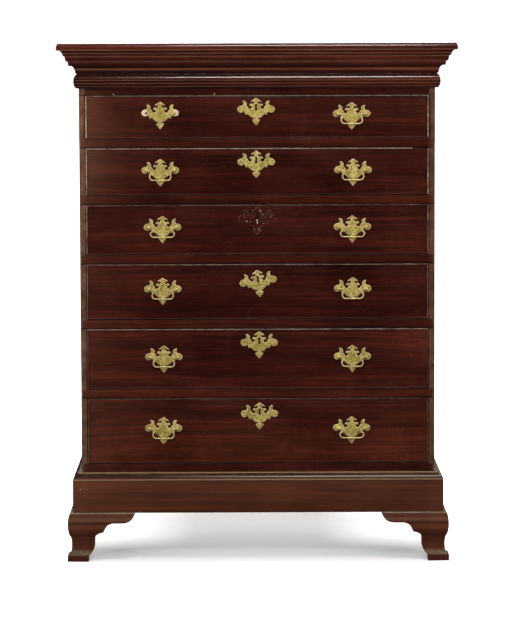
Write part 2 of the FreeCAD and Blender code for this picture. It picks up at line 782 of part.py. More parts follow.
def lock_bolt(number):
    keep(lock_box(number, ("bolt_width", "bolt_thickness"), "bolt_height", "0"), f"lock_bolt_{number}")


# ---------------------------------------------------------------- bails


def bail_route(spread):
    """Half of a bail's line, from its pin to the grip, in (x, z) from its axis: a tight bend
    down, an outward flare, and a round corner to the straight grip."""
    neck, bend, corner = S.bail_neck, S.bail_turn, S.bail_corner
    points = [(S.post_offset - S.post_head / 2 - 1, 0.0)]
    for angle in (90, 180):
        a = math.radians(angle)
        points.append((neck + bend + bend * math.cos(a), -bend + bend * math.sin(a)))
    for angle in (0, -45, -90):
        a = math.radians(angle)
        points.append((spread - corner + corner * math.cos(a), -S.bail_drop + corner + corner * math.sin(a)))
    return points


def bail(number, side):
    """A swinging bail: a rod bent between two pins, which turn in the posts."""
    spread = S.bail_wide if (number, side) in WIDE_BAILS else S.bail_narrow
    body = new_body()
    half = bail_route(spread)
    route = half + [(-x, z) for x, z in reversed(half)]
    path = empty_sketch(body, "XZ_Plane")
    for near, far in zip(route, route[1:]):
        path.addGeometry(Part.LineSegment(Vector(*near, 0), Vector(*far, 0)))
    start = half[0][0]
    ring = regular(S.bail_rod, 6)
    rod = body.newObject("PartDesign::AdditivePipe", "Pipe")
    rod.Profile = sketch_on(body, "YZ_Plane", ring[0], ring[1:], offset=start)
    rod.Spine = (path, [f"Edge{k + 1}" for k in range(len(route) - 1)])
    rod.Transition = "Right corner"
    flats = regular(2 * S.pin_radius * math.cos(math.pi / 8), 8)
    for sign in (-1, 1):
        pin = sketch_on(body, "YZ_Plane", flats[0], flats[1:], offset=sign * start)
        pad(body, pin, "post_head + 1", flip=sign < 0)
    x, z = handle_place(number, side)
    place(body, (x, f"{FRONT} - post_reach", f"{z} + post_rise"))
    keep(body, f"bail_{number}_{SIDE_NAMES[side]}")


# ---------------------------------------------------------------- assembly


def check_and_write():
    """Stops on a failed feature or a bad shape, then writes each sub-part to its own file."""
    doc.recompute()
    for thing in doc.Objects:
        if "Invalid" in thing.State or "Error" in thing.State:
            raise RuntimeError(f"{thing.Label} ({thing.TypeId}) failed: {thing.State}")
    os.makedirs("parts", exist_ok=True)
    for piece in nodes:
        if piece.Shape.isNull() or not piece.Shape.isValid():
            raise RuntimeError(f"{piece.Label} has a bad shape")
        piece.Shape.exportStep(f"parts/{piece.Label}.step")
    print(len(nodes), "sub-parts written")


def main():
    fill_sheet()
    blades = blades_and_rail()
    bottom = bottom_board()
    case_side("side_left", True, blades, bottom)
    case_side("side_right", False, blades, bottom)
    top_rail()
    back_boards()
    runners()
    top_board()
    cornice()
    plinth()
    base_moulding()
    feet()
    foot_blocks()
    for number in DRAWERS:
        tools = drawer_box(number) + brasses(number)
        tools.append(keyhole(number, "2 * front_thickness"))
        drawer_front(number, tools)
        drawer_bead(number)
        lock_bolt(number)
        for side in (0, 1):
            if (number, side) != BARE_HANDLE:
                bail(number, side)
    check_and_write()


main()
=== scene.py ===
import json
import random
from math import atan2, cos, dist, hypot, pi, radians, sin, sqrt

import bmesh
import bpy
from mathutils import Matrix, Vector


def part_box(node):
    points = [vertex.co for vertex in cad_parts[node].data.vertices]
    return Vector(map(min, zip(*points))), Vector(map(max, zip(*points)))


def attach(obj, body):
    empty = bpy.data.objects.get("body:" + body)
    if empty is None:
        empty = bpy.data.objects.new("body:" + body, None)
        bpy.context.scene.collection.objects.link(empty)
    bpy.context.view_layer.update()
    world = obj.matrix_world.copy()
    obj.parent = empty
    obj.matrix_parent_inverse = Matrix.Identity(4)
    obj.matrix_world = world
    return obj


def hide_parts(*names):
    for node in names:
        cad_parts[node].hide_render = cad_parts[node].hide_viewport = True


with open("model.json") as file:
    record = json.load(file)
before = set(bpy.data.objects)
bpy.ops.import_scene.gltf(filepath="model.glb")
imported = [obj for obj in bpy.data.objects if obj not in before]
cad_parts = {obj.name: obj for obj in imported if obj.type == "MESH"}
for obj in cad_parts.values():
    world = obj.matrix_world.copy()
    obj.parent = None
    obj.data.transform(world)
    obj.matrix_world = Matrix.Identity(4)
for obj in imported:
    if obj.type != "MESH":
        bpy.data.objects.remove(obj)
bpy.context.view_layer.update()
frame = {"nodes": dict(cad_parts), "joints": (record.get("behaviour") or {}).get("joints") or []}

# Tall mahogany chest: wood with grain, wear and wax, fine mouldings and beads, pierced brasses.
# Units are metres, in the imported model's frame: -Y is the front, +X the right-hand side.

NODES = frame["nodes"]
MM = 0.001
ARRIS = 0.62 * MM  # a strip narrower than this is a worn arris
FILLET = 0.5 * MM  # how far the sharp corners of the mouldings are cut back
GRAIN_SPAN = 40  # each board's grain starts anywhere in this many metres of wood
SEED = 7


# ---- sizes taken from the frame

SIDE_LEFT, SIDE_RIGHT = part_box("side_left"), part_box("side_right")
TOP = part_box("top_board")
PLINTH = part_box("plinth")
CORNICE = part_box("cornice_front")
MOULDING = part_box("base_moulding")
HALF_CASE = SIDE_RIGHT[1].x
FRONT = SIDE_LEFT[0].y
BACK = SIDE_LEFT[1].y
FOOT_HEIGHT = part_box("foot_front_left")[1].z
FOOT_LENGTH = PLINTH[1].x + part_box("foot_front_left")[1].x
PAD = 16 * MM
DRAWERS = range(1, 7)


# ---- node helpers


class Shader:
    """One material's node tree, with short calls for the nodes that it uses most, and the
    material's colour so far."""

    def __init__(self, name):
        self.material = bpy.data.materials.new(name)
        self.material.use_nodes = True
        self.tree = self.material.node_tree
        self.tree.nodes.clear()
        self.colour = None

    def node(self, kind, inputs=None, **settings):
        """A ShaderNode of a kind; inputs maps a socket's name or number to a value or a socket."""
        made = self.tree.nodes.new("ShaderNode" + kind)
        for name, value in settings.items():
            setattr(made, name, value)
        for key, value in (inputs or {}).items():
            if isinstance(value, bpy.types.NodeSocket):
                self.tree.links.new(value, made.inputs[key])
            else:
                made.inputs[key].default_value = value
        return made

    def attribute(self, name, output="Vector"):
        return self.node("Attribute", attribute_name=name).outputs[output]

    def place(self):
        """Where a point is, in metres."""
        return self.node("TexCoord").outputs["Object"]

    def parts(self, vector):
        """The x, y and z of a vector."""
        return self.node("SeparateXYZ", {0: vector}).outputs

    def maths(self, operation, a, b=0):
        return self.node("Math", {0: a, 1: b}, operation=operation).outputs[0]

    def times(self, a, b):
        return self.maths("MULTIPLY", a, b)

    def plus(self, a, b):
        return self.maths("ADD", a, b)

    def stretch(self, vector, factors):
        return self.node("Mapping", {"Vector": vector, "Scale": factors}).outputs[0]

    def noise(self, vector, scale, detail, roughness=0.5, distortion=0):
        inputs = {"Vector": vector, "Scale": scale, "Detail": detail, "Roughness": roughness}
        inputs["Distortion"] = distortion
        return self.node("TexNoise", inputs).outputs[0]

    def fibres(self, grain, along, across, detail, roughness=0.5, distortion=0):
        """Noise drawn out along the grain: its cells per metre along the grain and across it."""
        drawn = self.stretch(grain, (along, across, across))
        return self.noise(drawn, 1, detail, roughness, distortion)

    def ramp(self, value, low, high, out_low=0, out_high=1):
        """value from low..high to out_low..out_high, held at the ends."""
        inputs = {0: value, 1: low, 2: high, 3: out_low, 4: out_high}
        return self.node("MapRange", inputs, clamp=True).outputs[0]

    def mix(self, share, a, b, blend="MIX"):
        """Colour a to colour b by share."""
        inputs = {0: share, 6: a, 7: b}
        made = self.node("Mix", inputs, data_type="RGBA", blend_type=blend, clamp_factor=True)
        return made.outputs[2]

    def paint(self, share, tint):
        """Lays a tint over the material's colour by share."""
        self.colour = self.mix(share, self.colour, tint)

    def tint(self, red, green, blue):
        """Multiplies each part of the material's colour."""
        tone = self.node("CombineColor", {0: red, 1: green, 2: blue}).outputs[0]
        self.colour = self.mix(1, self.colour, tone, "MULTIPLY")

    def bump(self, height, distance, strength, normal=None):
        inputs = {"Height": height, "Distance": distance, "Strength": strength}
        if normal:
            inputs["Normal"] = normal
        return self.node("Bump", inputs).outputs[0]

    def surface(self, shader):
        """The material, with a shader node as its surface."""
        self.node("OutputMaterial", {"Surface": shader.outputs[0]})
        return self.material

    def finish(self, **sockets):
        """The material with a principled shader. Spaces in sockets' names are underscores here."""
        inputs = {name.replace("_", " "): value for name, value in sockets.items()}
        inputs["Base Color"] = self.colour
        return self.surface(self.node("BsdfPrincipled", inputs))


def rgb(red, green, blue):
    """A linear colour from sRGB 0..255 numbers."""
    def linear(part):
        part /= 255
        return part / 12.92 if part <= 0.04045 else ((part + 0.055) / 1.055) ** 2.4

    return (linear(red), linear(green), linear(blue), 1)


# ---- materials


def mahogany(name, light, middle, dark, worn, roughness, marks, clouds, coat):
    """Polished old mahogany. Each board's own grain coordinates run along its length: figure,
    dark streaks, fine pores, blotches of old polish, pale arrises that are worn and carry painted
    highlights, and a painted sheen towards the front's edges. marks adds the dirt and wear of one
    part of the chest and its painted shade and highlights, clouds is how strong the blotches are,
    and coat is the weight of the clear polish. A face with an edge value below 0 is dull instead
    of worn."""
    s = Shader(name)
    grain = s.attribute("grain")
    place = s.place()

    waver = s.fibres(grain, 1.1, 3, 2)
    sway = s.node("CombineXYZ", {1: s.times(waver, 0.05), 2: s.times(waver, 0.03)})
    bent = s.node("VectorMath", {0: grain, 1: sway.outputs[0]}, operation="ADD").outputs[0]
    figure = s.fibres(bent, 0.9, 13, 4, 0.55, 0.4)
    streaks = s.fibres(bent, 1.6, 75, 5, 0.6)
    threads = s.fibres(bent, 3, 190, 3, 0.6)
    fine = s.fibres(bent, 7, 420, 4, 0.6)
    pores = s.fibres(bent, 38, 1500, 2)
    smudge = s.fibres(bent, 3, 24, 3, 0.6)
    blotch = s.noise(place, 5, 4, 0.6, 0.6)
    specks = s.noise(place, 420, 2)

    pore = tuple(0.35 * part for part in dark[:3]) + (1,)
    s.colour = s.mix(s.ramp(figure, 0.36, 0.64), dark, middle)
    for value, low, high, share, tint in (
        (streaks, 0.5, 0.72, 0.45, light), (streaks, 0.48, 0.32, 0.7, dark),
        (threads, 0.52, 0.68, 0.35, light), (threads, 0.48, 0.34, 0.4, dark),
        (fine, 0.47, 0.32, 0.6, dark), (pores, 0.36, 0.28, 0.6, pore),
    ):
        s.paint(s.ramp(value, low, high, 0, share), tint)
    wide = s.ramp(blotch, 0.35, 0.7, 1 - 0.24 * clouds, 1 + 0.2 * clouds)
    long = s.ramp(smudge, 0.35, 0.6, 1 - 0.28 * clouds, 1 + 0.14 * clouds)
    tone = s.ramp(s.attribute("board", "Fac"), 0, 3, 0.76, 2.2)
    shade = s.times(s.times(wide, long), tone)
    s.tint(shade, shade, shade)

    # Pale edge colour, broken up by noise: wear, and on the beads and the case sides' front edges painted
    # highlight and sheen.
    edge = s.attribute("edge", "Fac")
    pale_edge = s.ramp(s.noise(place, 38, 4, 0.65), 0.34, 0.62, 0.2, 1)
    s.paint(s.times(edge, pale_edge), worn)
    s.paint(s.ramp(specks, 0.735, 0.76, 0, 0.5), worn)
    # Painted sheen: a dull brown haze towards the front's edges, less on fronts that are free of it.
    free = s.parts(s.attribute("ends"))[2]
    sheen = s.times(sheen_share(s, place), s.maths("SUBTRACT", 1, free))
    s.paint(sheen, rgb(156, 106, 82))
    marks(s, place)

    gloss = s.plus(roughness, s.ramp(blotch, 0.3, 0.75, -0.06, 0.1))
    gloss = s.plus(gloss, s.ramp(fine, 0.3, 0.7, 0.04, -0.02))
    gloss = s.plus(gloss, s.ramp(edge, 0, -1, 0, 0.5))
    normal = s.bump(s.noise(place, 9, 2), 0.6 * MM, 0.5)
    normal = s.bump(s.plus(s.times(fine, 0.5), pores), 0.06 * MM, 0.6, normal)
    return s.finish(
        Roughness=gloss, Normal=normal, Specular_IOR_Level=0.22,
        Coat_Weight=coat, Coat_Roughness=0.1,
    )


def sheen_share(s, place):
    """Share of the painted sheen, a dull brown haze that stands for light on the polish: towards the
    left edge of the front, most at the top, and a little by the right edge."""
    across, _, height = s.parts(place)
    upper = s.times(s.ramp(height, 0.75, 1.05, 0.42, 1), s.ramp(height, 1.266, 1.262))
    wide = s.times(s.maths("POWER", s.ramp(across, -0.18, -0.475), 3.5), 0.16)
    at_left = s.ramp(across, -0.456, -0.462, 0, 0.05)
    at_right = s.ramp(across, 0.456, 0.462, 0, 0.07)
    cloud = s.ramp(s.noise(place, 7, 3, 0.6), 0.3, 0.7, 0.6, 1.2)
    return s.times(s.times(s.plus(wide, s.plus(at_left, at_right)), upper), cloud)


def near(s, height, level, reach, strength):
    """Share of a level line: strength at the level, none beyond reach, in mm."""
    reach *= MM
    away = s.maths("ABSOLUTE", s.maths("SUBTRACT", height, level))
    return s.ramp(away, reach, 0.4 * reach, 0, strength)


# Bands up the feet, painted shade and highlight that follow their ogee: share of the foot's
# height, half width in mm, strength and colour.
FOOT_SHADING_BANDS = [
    (0.45, 36, 0.5, rgb(50, 18, 12)), (0.71, 9, 0.22, rgb(118, 62, 48)),
    (0.79, 5, 0.4, rgb(46, 22, 15)), (0.87, 7, 0.2, rgb(132, 106, 86)),
]


def base_marks(s, place):
    """The base's marks: a dark band in the moulding's hollow, darker towards the left, a painted
    highlight along its lip, pale lines along its arrises that are wear and painted highlight, the
    pale joint at the top of the feet, bands of painted shade and highlight up them, a painted
    grey-green sheen at the ankles, and dark pads."""
    across, _, height = s.parts(place)
    patches = s.ramp(s.noise(place, 26, 3, 0.6), 0.46, 0.58)
    dabs = s.ramp(s.noise(place, 110, 4, 0.7), 0.5, 0.64)
    low, high = MOULDING[0].z, MOULDING[1].z
    lip = low + 0.43 * (high - low)
    wing_end = PLINTH[1].x - FOOT_LENGTH

    hollow = s.times(near(s, height, lip + 5 * MM, 8, 0.85), s.ramp(across, 0.4, 0.1, 0.5, 1))
    s.paint(s.times(hollow, s.ramp(patches, 0, 1, 0.5, 1)), rgb(30, 18, 11))
    # Painted highlight along the lip, rising from a little left of the middle to the right.
    lip_highlight = s.times(near(s, height, lip, 1.3, 0.5), s.ramp(across, -0.3, 0.1))
    s.paint(lip_highlight, rgb(206, 200, 180))
    # Pale lines along the top and bottom arrises: wear and painted highlight.
    for level in (low + 0.5 * MM, high - 0.5 * MM):
        s.paint(near(s, height, level, 1.4, 0.4), rgb(190, 160, 126))
    over_feet = s.ramp(s.maths("ABSOLUTE", across), wing_end - 2 * MM, wing_end)
    joint = s.times(near(s, height, FOOT_HEIGHT, 1.6, 0.5), over_feet)
    s.paint(s.times(joint, s.ramp(patches, 0, 1, 0.6, 1)), rgb(160, 158, 128))
    for share, reach, strength, tint in FOOT_SHADING_BANDS:
        band = near(s, height, share * FOOT_HEIGHT, reach, strength)
        s.paint(s.times(band, s.ramp(dabs, 0, 1, 0.75, 1.2)), tint)
    # Painted grey-green sheen round the ankles.
    ankle_sheen = s.times(near(s, height, 21 * MM, 12, 0.6), s.ramp(dabs, 0, 1, 0.4, 1))
    s.paint(ankle_sheen, rgb(108, 108, 86))
    s.paint(s.ramp(height, PAD + MM, PAD, 0, 0.8), rgb(56, 21, 13))


# Lines along the cornice: share of its height, half width in mm, and strength. Pale ones are
# dust, worn arrises and painted highlights; dark ones are dirt and painted shade in the hollows.
PALE_LINES = [
    (0.05, 1.6, 0.14), (0.13, 1.4, 0.16), (0.21, 1.3, 0.16), (0.5, 2.6, 0.24), (0.705, 1.5, 0.22),
    (0.84, 1.5, 0.2), (0.92, 1.5, 0.2), (1.01, 1.8, 0.26),
]
DARK_LINES = [
    (0.17, 1.2, 0.6), (0.25, 1.6, 0.6), (0.385, 8, 0.85), (0.6, 6, 0.7), (0.77, 2.2, 0.5),
    (0.88, 1.6, 0.6),
]


def case_marks(s, place):
    """Dark lines of dirt and painted shade and pale lines of dust, wear and painted highlight along
    the cornice, and on the front a painted shadow in the gap over each drawer.
    """
    _, depth, height = s.parts(place)
    on_front = s.ramp(depth, FRONT + 6 * MM, FRONT + 4 * MM)
    foot, tall = CORNICE[0].z, CORNICE[1].z - CORNICE[0].z
    broken = s.ramp(s.noise(s.stretch(place, (6, 6, 260)), 1, 3, 0.6), 0.35, 0.6, 0.45, 1)
    for share, reach, strength in DARK_LINES:
        line = near(s, height, foot + share * tall, reach, strength)
        s.paint(line, rgb(26, 9, 7))
    for share, reach, strength in PALE_LINES:
        line = near(s, height, foot + share * tall, reach, strength)
        s.paint(s.times(line, broken), rgb(170, 130, 104))
    # Painted shadow in the gap over each drawer's bead, on the front face only.
    for number in DRAWERS:
        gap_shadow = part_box(f"drawer_{number}_bead")[1].z + 1.2 * MM
        line = s.times(near(s, height, gap_shadow, 1.5, 0.85), on_front)
        s.paint(line, rgb(12, 5, 4))


def front_marks(s, place):
    """Painted sheen and shade: the drawer fronts are paler or darker towards their ends, each by
    its own share. They are also browner towards the floor."""
    across, _, height = s.parts(place)
    left, right, _ = s.parts(s.attribute("ends"))
    left = s.times(left, s.ramp(across, -0.2, -0.42))
    right = s.times(right, s.ramp(across, 0.2, 0.42))
    end_sheen = s.plus(s.plus(left, right), 1)
    browner = s.times(end_sheen, s.ramp(height, 0.5, 0.3, 1, 1.16))
    s.tint(end_sheen, browner, end_sheen)


def old_pine():
    """Bare planed softwood of the parts that don't show."""
    s = Shader("old_pine")
    light, dark = rgb(190, 150, 104), rgb(148, 106, 66)
    grain = s.attribute("grain")
    rings = s.fibres(grain, 0.8, 22, 3, 0.5, 0.8)
    fine = s.fibres(grain, 6, 260, 4, 0.6)
    stain = s.noise(s.place(), 4, 4, 0.6)
    s.colour = s.mix(s.ramp(rings, 0.4, 0.6), dark, light)
    s.paint(s.ramp(fine, 0.5, 0.35, 0, 0.5), dark)
    tone = s.ramp(s.attribute("board", "Fac"), 0, 1, 0.85, 1.1)
    shade = s.times(s.ramp(stain, 0.3, 0.7, 0.75, 1.1), tone)
    s.tint(shade, shade, shade)
    gloss = s.ramp(fine, 0.3, 0.7, 0.62, 0.8)
    return s.finish(Roughness=gloss, Normal=s.bump(fine, 0.12 * MM, 0.7))


def old_brass():
    """Cast brass, polished on its face, with darker lacquer and dirt where hands don't rub, and a
    pale cream on its edges and bails that is worn polish and painted highlight.
    """
    s = Shader("old_brass")
    place = s.place()
    cloud = s.noise(place, 55, 4, 0.6, 0.5)
    grime = s.noise(place, 260, 3, 0.6)
    s.colour = s.mix(s.ramp(cloud, 0.36, 0.64), rgb(204, 182, 92), rgb(246, 225, 138))
    s.paint(s.ramp(grime, 0.52, 0.37, 0, 0.85), rgb(108, 88, 36))
    # Pale cream by the edge value: worn polish and painted highlight.
    s.paint(s.times(s.attribute("edge", "Fac"), 0.85), rgb(255, 240, 194))
    gloss = s.plus(s.ramp(cloud, 0.3, 0.7, 0.36, 0.5), s.ramp(grime, 0.42, 0.3, 0, 0.15))
    normal = s.bump(grime, 0.04 * MM, 0.6, s.bump(cloud, 0.3 * MM, 0.5))
    return s.finish(Metallic=0.6, Roughness=gloss, Normal=normal)


def dark_iron():
    s = Shader("dark_iron")
    rust = s.noise(s.place(), 180, 4, 0.65)
    s.colour = s.mix(s.ramp(rust, 0.45, 0.65), rgb(13, 12, 12), rgb(34, 22, 16))
    gloss = s.ramp(rust, 0.4, 0.7, 0.5, 0.8)
    normal = s.bump(rust, 0.1 * MM, 0.6)
    return s.finish(Metallic=0.4, Roughness=gloss, Normal=normal)


def old_wax():
    """Wax residue: dull where the edge value is 0, bright at 1, and at -1 a near-black film of
    painted shade in the mouths of bores.
    """
    s = Shader("old_wax")
    grains = s.noise(s.place(), 700, 3, 0.6)
    edge = s.attribute("edge", "Fac")
    s.colour = s.mix(s.ramp(grains, 0.4, 0.62), rgb(58, 28, 22), rgb(136, 110, 92))
    s.paint(edge, rgb(226, 214, 198))
    # Painted shade: near black where the edge value is below 0.
    s.paint(s.ramp(edge, 0, -1), rgb(8, 5, 5))
    gloss = s.ramp(grains, 0.3, 0.7, 0.45, 0.7)
    normal = s.bump(grains, 0.1 * MM, 0.6)
    return s.finish(Roughness=gloss, Normal=normal, Specular_IOR_Level=0.2)


CASE_WOOD = mahogany(
    "case_mahogany", rgb(78, 32, 22), rgb(58, 22, 15), rgb(38, 14, 10), rgb(158, 130, 106),
    roughness=0.22, marks=case_marks, clouds=1, coat=0.4,
)
BASE_WOOD = mahogany(
    "base_mahogany", rgb(90, 48, 32), rgb(74, 39, 26), rgb(57, 29, 19), rgb(150, 126, 98),
    roughness=0.42, marks=base_marks, clouds=0.45, coat=0.12,
)
DRAWER_WOOD = mahogany(
    "drawer_mahogany", rgb(74, 28, 21), rgb(56, 20, 14), rgb(38, 14, 10), rgb(170, 152, 132),
    roughness=0.24, marks=front_marks, clouds=1.15, coat=0.12,
)
WAX = old_wax()
PINE = old_pine()
BRASS = old_brass()
IRON = dark_iron()


# ---- mesh helpers


def islands(bm):
    """Lists of vertices that are joined by edges: one list for each board of a mesh."""
    left = set(bm.verts)
    groups = []
    while left:
        group = [left.pop()]
        for seed in group:
            for e in seed.link_edges:
                for v in e.verts:
                    if v in left:
                        left.remove(v)
                        group.append(v)
        groups.append(group)
    return sorted(groups, key=lambda g: min((v.co.z, v.co.x, v.co.y) for v in g))


def new_mesh():
    """An empty mesh, and the layer for the wear of its faces."""
    bm = bmesh.new()
    return bm, bm.faces.layers.float.new("edge")


def wood_mesh():
    """An empty mesh, with grain coordinates and tone for its vertices and wear for its faces."""
    bm = bmesh.new()
    grain = bm.verts.layers.float_vector.new("grain")
    tone = bm.verts.layers.float.new("board")
    return bm, (grain, tone, bm.faces.layers.float.new("edge"))


def any_start(rng):
    """A random start for a board's grain coordinates."""
    return [rng.uniform(0, GRAIN_SPAN) for _ in range(3)]


def set_grain(bm, rng, along=None, shade=None):
    """Gives each board of a mesh its tone and its grain coordinates, length first. The tone is
    shade, one for all or one for each, or random. along is the axis that the grain follows: the
    longest when it is None, and in a drawer box, "box", front to back on the sides and across
    elsewhere."""
    grain = bm.loops.layers.float_vector.new("grain")
    tone = bm.verts.layers.float.new("board")
    bm.normal_update()
    for number, group in enumerate(islands(bm)):
        spans = [max(v.co[k] for v in group) - min(v.co[k] for v in group) for k in range(3)]
        longest = spans.index(max(spans)) if along in (None, "box") else along
        start = any_start(rng)
        if shade is None:
            value = rng.random()
        else:
            value = shade[number] if isinstance(shade, tuple) else shade
        for v in group:
            v[tone] = value
            for corner in v.link_loops:
                sideways = along == "box" and abs(corner.face.normal.x) > 0.7
                first = 1 if sideways else longest
                order = [first] + [k for k in range(3) if k != first]
                corner[grain] = [v.co[k] + start[n] for n, k in enumerate(order)]


def wall(bm, edge, low, high, worn):
    """Faces from one closed row of vertices to the next. worn is the wear of all of them, or a
    list with the wear of each."""
    for k in range(len(low)):
        n = (k + 1) % len(low)
        strip = bm.faces.new((low[k], low[n], high[n], high[k]))
        strip[edge] = worn[k] if isinstance(worn, list) else worn


def close_ends(bm, rows):
    bm.faces.new(rows[0])
    bm.faces.new(list(reversed(rows[-1])))


def skin(bm, edge, rows, worn=0):
    """Walls from row to row, closed at both ends."""
    for low, high in zip(rows, rows[1:]):
        wall(bm, edge, low, high, worn)
    close_ends(bm, rows)


def wood_solid(bm, layers, rng, rows, worn=0, least=0, span=1):
    """A board between closed rows of vertices: for each its spot, its grain coordinates, length
    first, and its lift over the board's tone. The tone is least, and up to span more."""
    start = any_start(rng)
    tone = least + span * rng.random()
    solid = []
    for row in rows:
        solid.append([])
        for spot, grain, lift in row:
            v = bm.verts.new(spot)
            v[layers[0]] = [part + first for part, first in zip(grain, start)]
            v[layers[1]] = tone + lift
            solid[-1].append(v)
    skin(bm, layers[2], solid, worn)


def scene_object(name, data):
    made = bpy.data.objects.new(name, data)
    bpy.context.scene.collection.objects.link(made)
    return made


def mesh_object(bm, name, material):
    """An object of the scene with the mesh and one material."""
    mesh = bpy.data.meshes.new(name)
    bm.to_mesh(mesh)
    bm.free()
    mesh.materials.append(material)
    return scene_object(name, mesh)


def make_piece(bm, name, material, node, body="carcase", smooth_under=30):
    """A mesh object from bm that stands for a CAD node, or goes with it, and rides on its body."""
    bm.normal_update()
    piece = mesh_object(bm, name, material)
    for face in piece.data.polygons:
        face.use_smooth = True
    piece.data.set_sharp_from_angle(angle=radians(smooth_under))
    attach(piece, body)
    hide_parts(node)
    return piece


def built_piece(bm, name, material, node, body="carcase", smooth_under=30):
    """A piece of a mesh that was built face by face: its faces are turned outwards first."""
    bmesh.ops.recalc_face_normals(bm, faces=bm.faces)
    make_piece(bm, name, material, node, body, smooth_under)


def clean_copy(node):
    """The CAD node's shape with its flat faces whole again."""
    bm = bmesh.new()
    bm.from_mesh(NODES[node].data)
    bmesh.ops.remove_doubles(bm, verts=bm.verts, dist=1e-6)
    bmesh.ops.dissolve_limit(bm, angle_limit=radians(0.4), verts=bm.verts, edges=bm.edges)
    return bm


def ease(bm, width, shortest):
    """Rounds the long outer arrises, and marks the rounded strips as worn."""
    sharp, worn = radians(40), 0.2
    edge = bm.faces.layers.float.new("edge")
    outer = [
        e for e in bm.edges
        if len(e.link_faces) == 2 and e.calc_face_angle_signed(0) > sharp and e.calc_length() > shortest
    ]
    made = bmesh.ops.bevel(
        bm, geom=outer, offset=width, offset_type="OFFSET", segments=2, profile=0.5,
        affect="EDGES", clamp_overlap=True, material=-1,
    )
    for f in made["faces"]:
        f[edge] = worn


def boards(node, material, rng, body="carcase", width=0.6 * MM, shortest=12 * MM, along=None, shade=None):
    """A CAD node of flat boards, with its own grain, and its arrises longer than shortest eased."""
    bm = clean_copy(node)
    set_grain(bm, rng, along, shade)
    ease(bm, width, shortest)
    return make_piece(bm, node + "_wood", material, node, body)


def wear_and_sheen_front(piece, share):
    """Wear and painted sheen on all the faces of a piece that look to the front."""
    values = piece.data.attributes["edge"].data
    for face in piece.data.polygons:
        if face.normal.y < -0.9:
            values[face.index].value = share


# ---- camera, floor and light


def camera():
    """A little above the top, about 8.5 m in front of the chest, tilted down."""
    pitch, yaw, roll = radians(-5.224), radians(-0.229), radians(0.18)
    turn = Matrix.Rotation(yaw, 3, "Z") @ Matrix.Rotation(pitch, 3, "X") @ Matrix.Rotation(roll, 3, "Y")
    right, forward, up = turn.col
    data = bpy.data.cameras.new("camera")
    data.lens = 182.85
    data.sensor_width = 36
    made = scene_object("camera", data)
    made.matrix_world = Matrix((right, up, -forward)).transposed().to_4x4()
    made.location = (-0.04, -8.8, 1.4425)
    bpy.context.scene.camera = made


def white_glow():
    s = Shader("white")
    return s.surface(s.node("Emission", {0: (1, 1, 1, 1), 1: 1.2}))


def floor_paint():
    """White, with a glow of its own all round the chest, and less of it under the chest, so that
    the shadow stays there."""
    s = Shader("pale_floor")
    across, depth, _ = s.parts(s.place())
    aside = s.maths("ABSOLUTE", across)
    beside = s.ramp(aside, HALF_CASE - 0.02, HALF_CASE + 0.06)
    ahead = s.ramp(depth, FRONT - 0.02, FRONT - 0.2)
    beyond = s.ramp(depth, BACK + 0.35, BACK + 0.9)
    open_floor = s.maths("MAXIMUM", s.maths("MAXIMUM", beside, ahead), beyond)
    # Painted light under the chest: the glow rises towards the back and towards the sides, so the shadow
    # there grows lighter.
    under = s.ramp(depth, FRONT + 0.1, BACK, 0.2, 0.46)
    inner = s.times(s.ramp(aside, 0.18, 0.44, 0, 0.6), s.ramp(depth, -0.05, 0.15))
    strength = s.plus(s.plus(under, inner), open_floor)
    shade = s.node("BsdfDiffuse", {0: (0.855, 0.858, 0.862, 1)})
    lift = s.node("Emission", {0: (1, 0.995, 0.99, 1), 1: strength})
    return s.surface(s.node("AddShader", {0: shade.outputs[0], 1: lift.outputs[0]}))


def pale_floor():
    """A white floor that keeps the shadow under the chest, and a white surround that only the
    camera sees."""
    bm = bmesh.new()
    bmesh.ops.create_circle(bm, cap_ends=True, radius=30, segments=96)
    floor = mesh_object(bm, "floor", floor_paint())
    bm = bmesh.new()
    bmesh.ops.create_uvsphere(bm, u_segments=48, v_segments=24, radius=31)
    surround = mesh_object(bm, "surround", white_glow())
    for kind in ("transmission", "volume_scatter", "shadow"):
        setattr(surround, f"visible_{kind}", False)
    for thing in (floor, surround):
        thing.visible_diffuse = False
        thing.visible_glossy = False


def softbox(name, at, towards, size, power, fills=True, gleams=True, tint=(1, 1, 1)):
    """An area light. It may light the paint only (fills) or draw highlights only (gleams)."""
    data = bpy.data.lights.new(name, "AREA")
    data.shape = "RECTANGLE"
    data.size, data.size_y = size
    data.energy = power
    data.color = tint
    lamp = scene_object(name, data)
    lamp.location = at
    lamp.rotation_euler = (Vector(towards) - Vector(at)).to_track_quat("-Z", "Y").to_euler()
    lamp.visible_camera = False
    lamp.visible_diffuse = fills
    lamp.visible_glossy = gleams


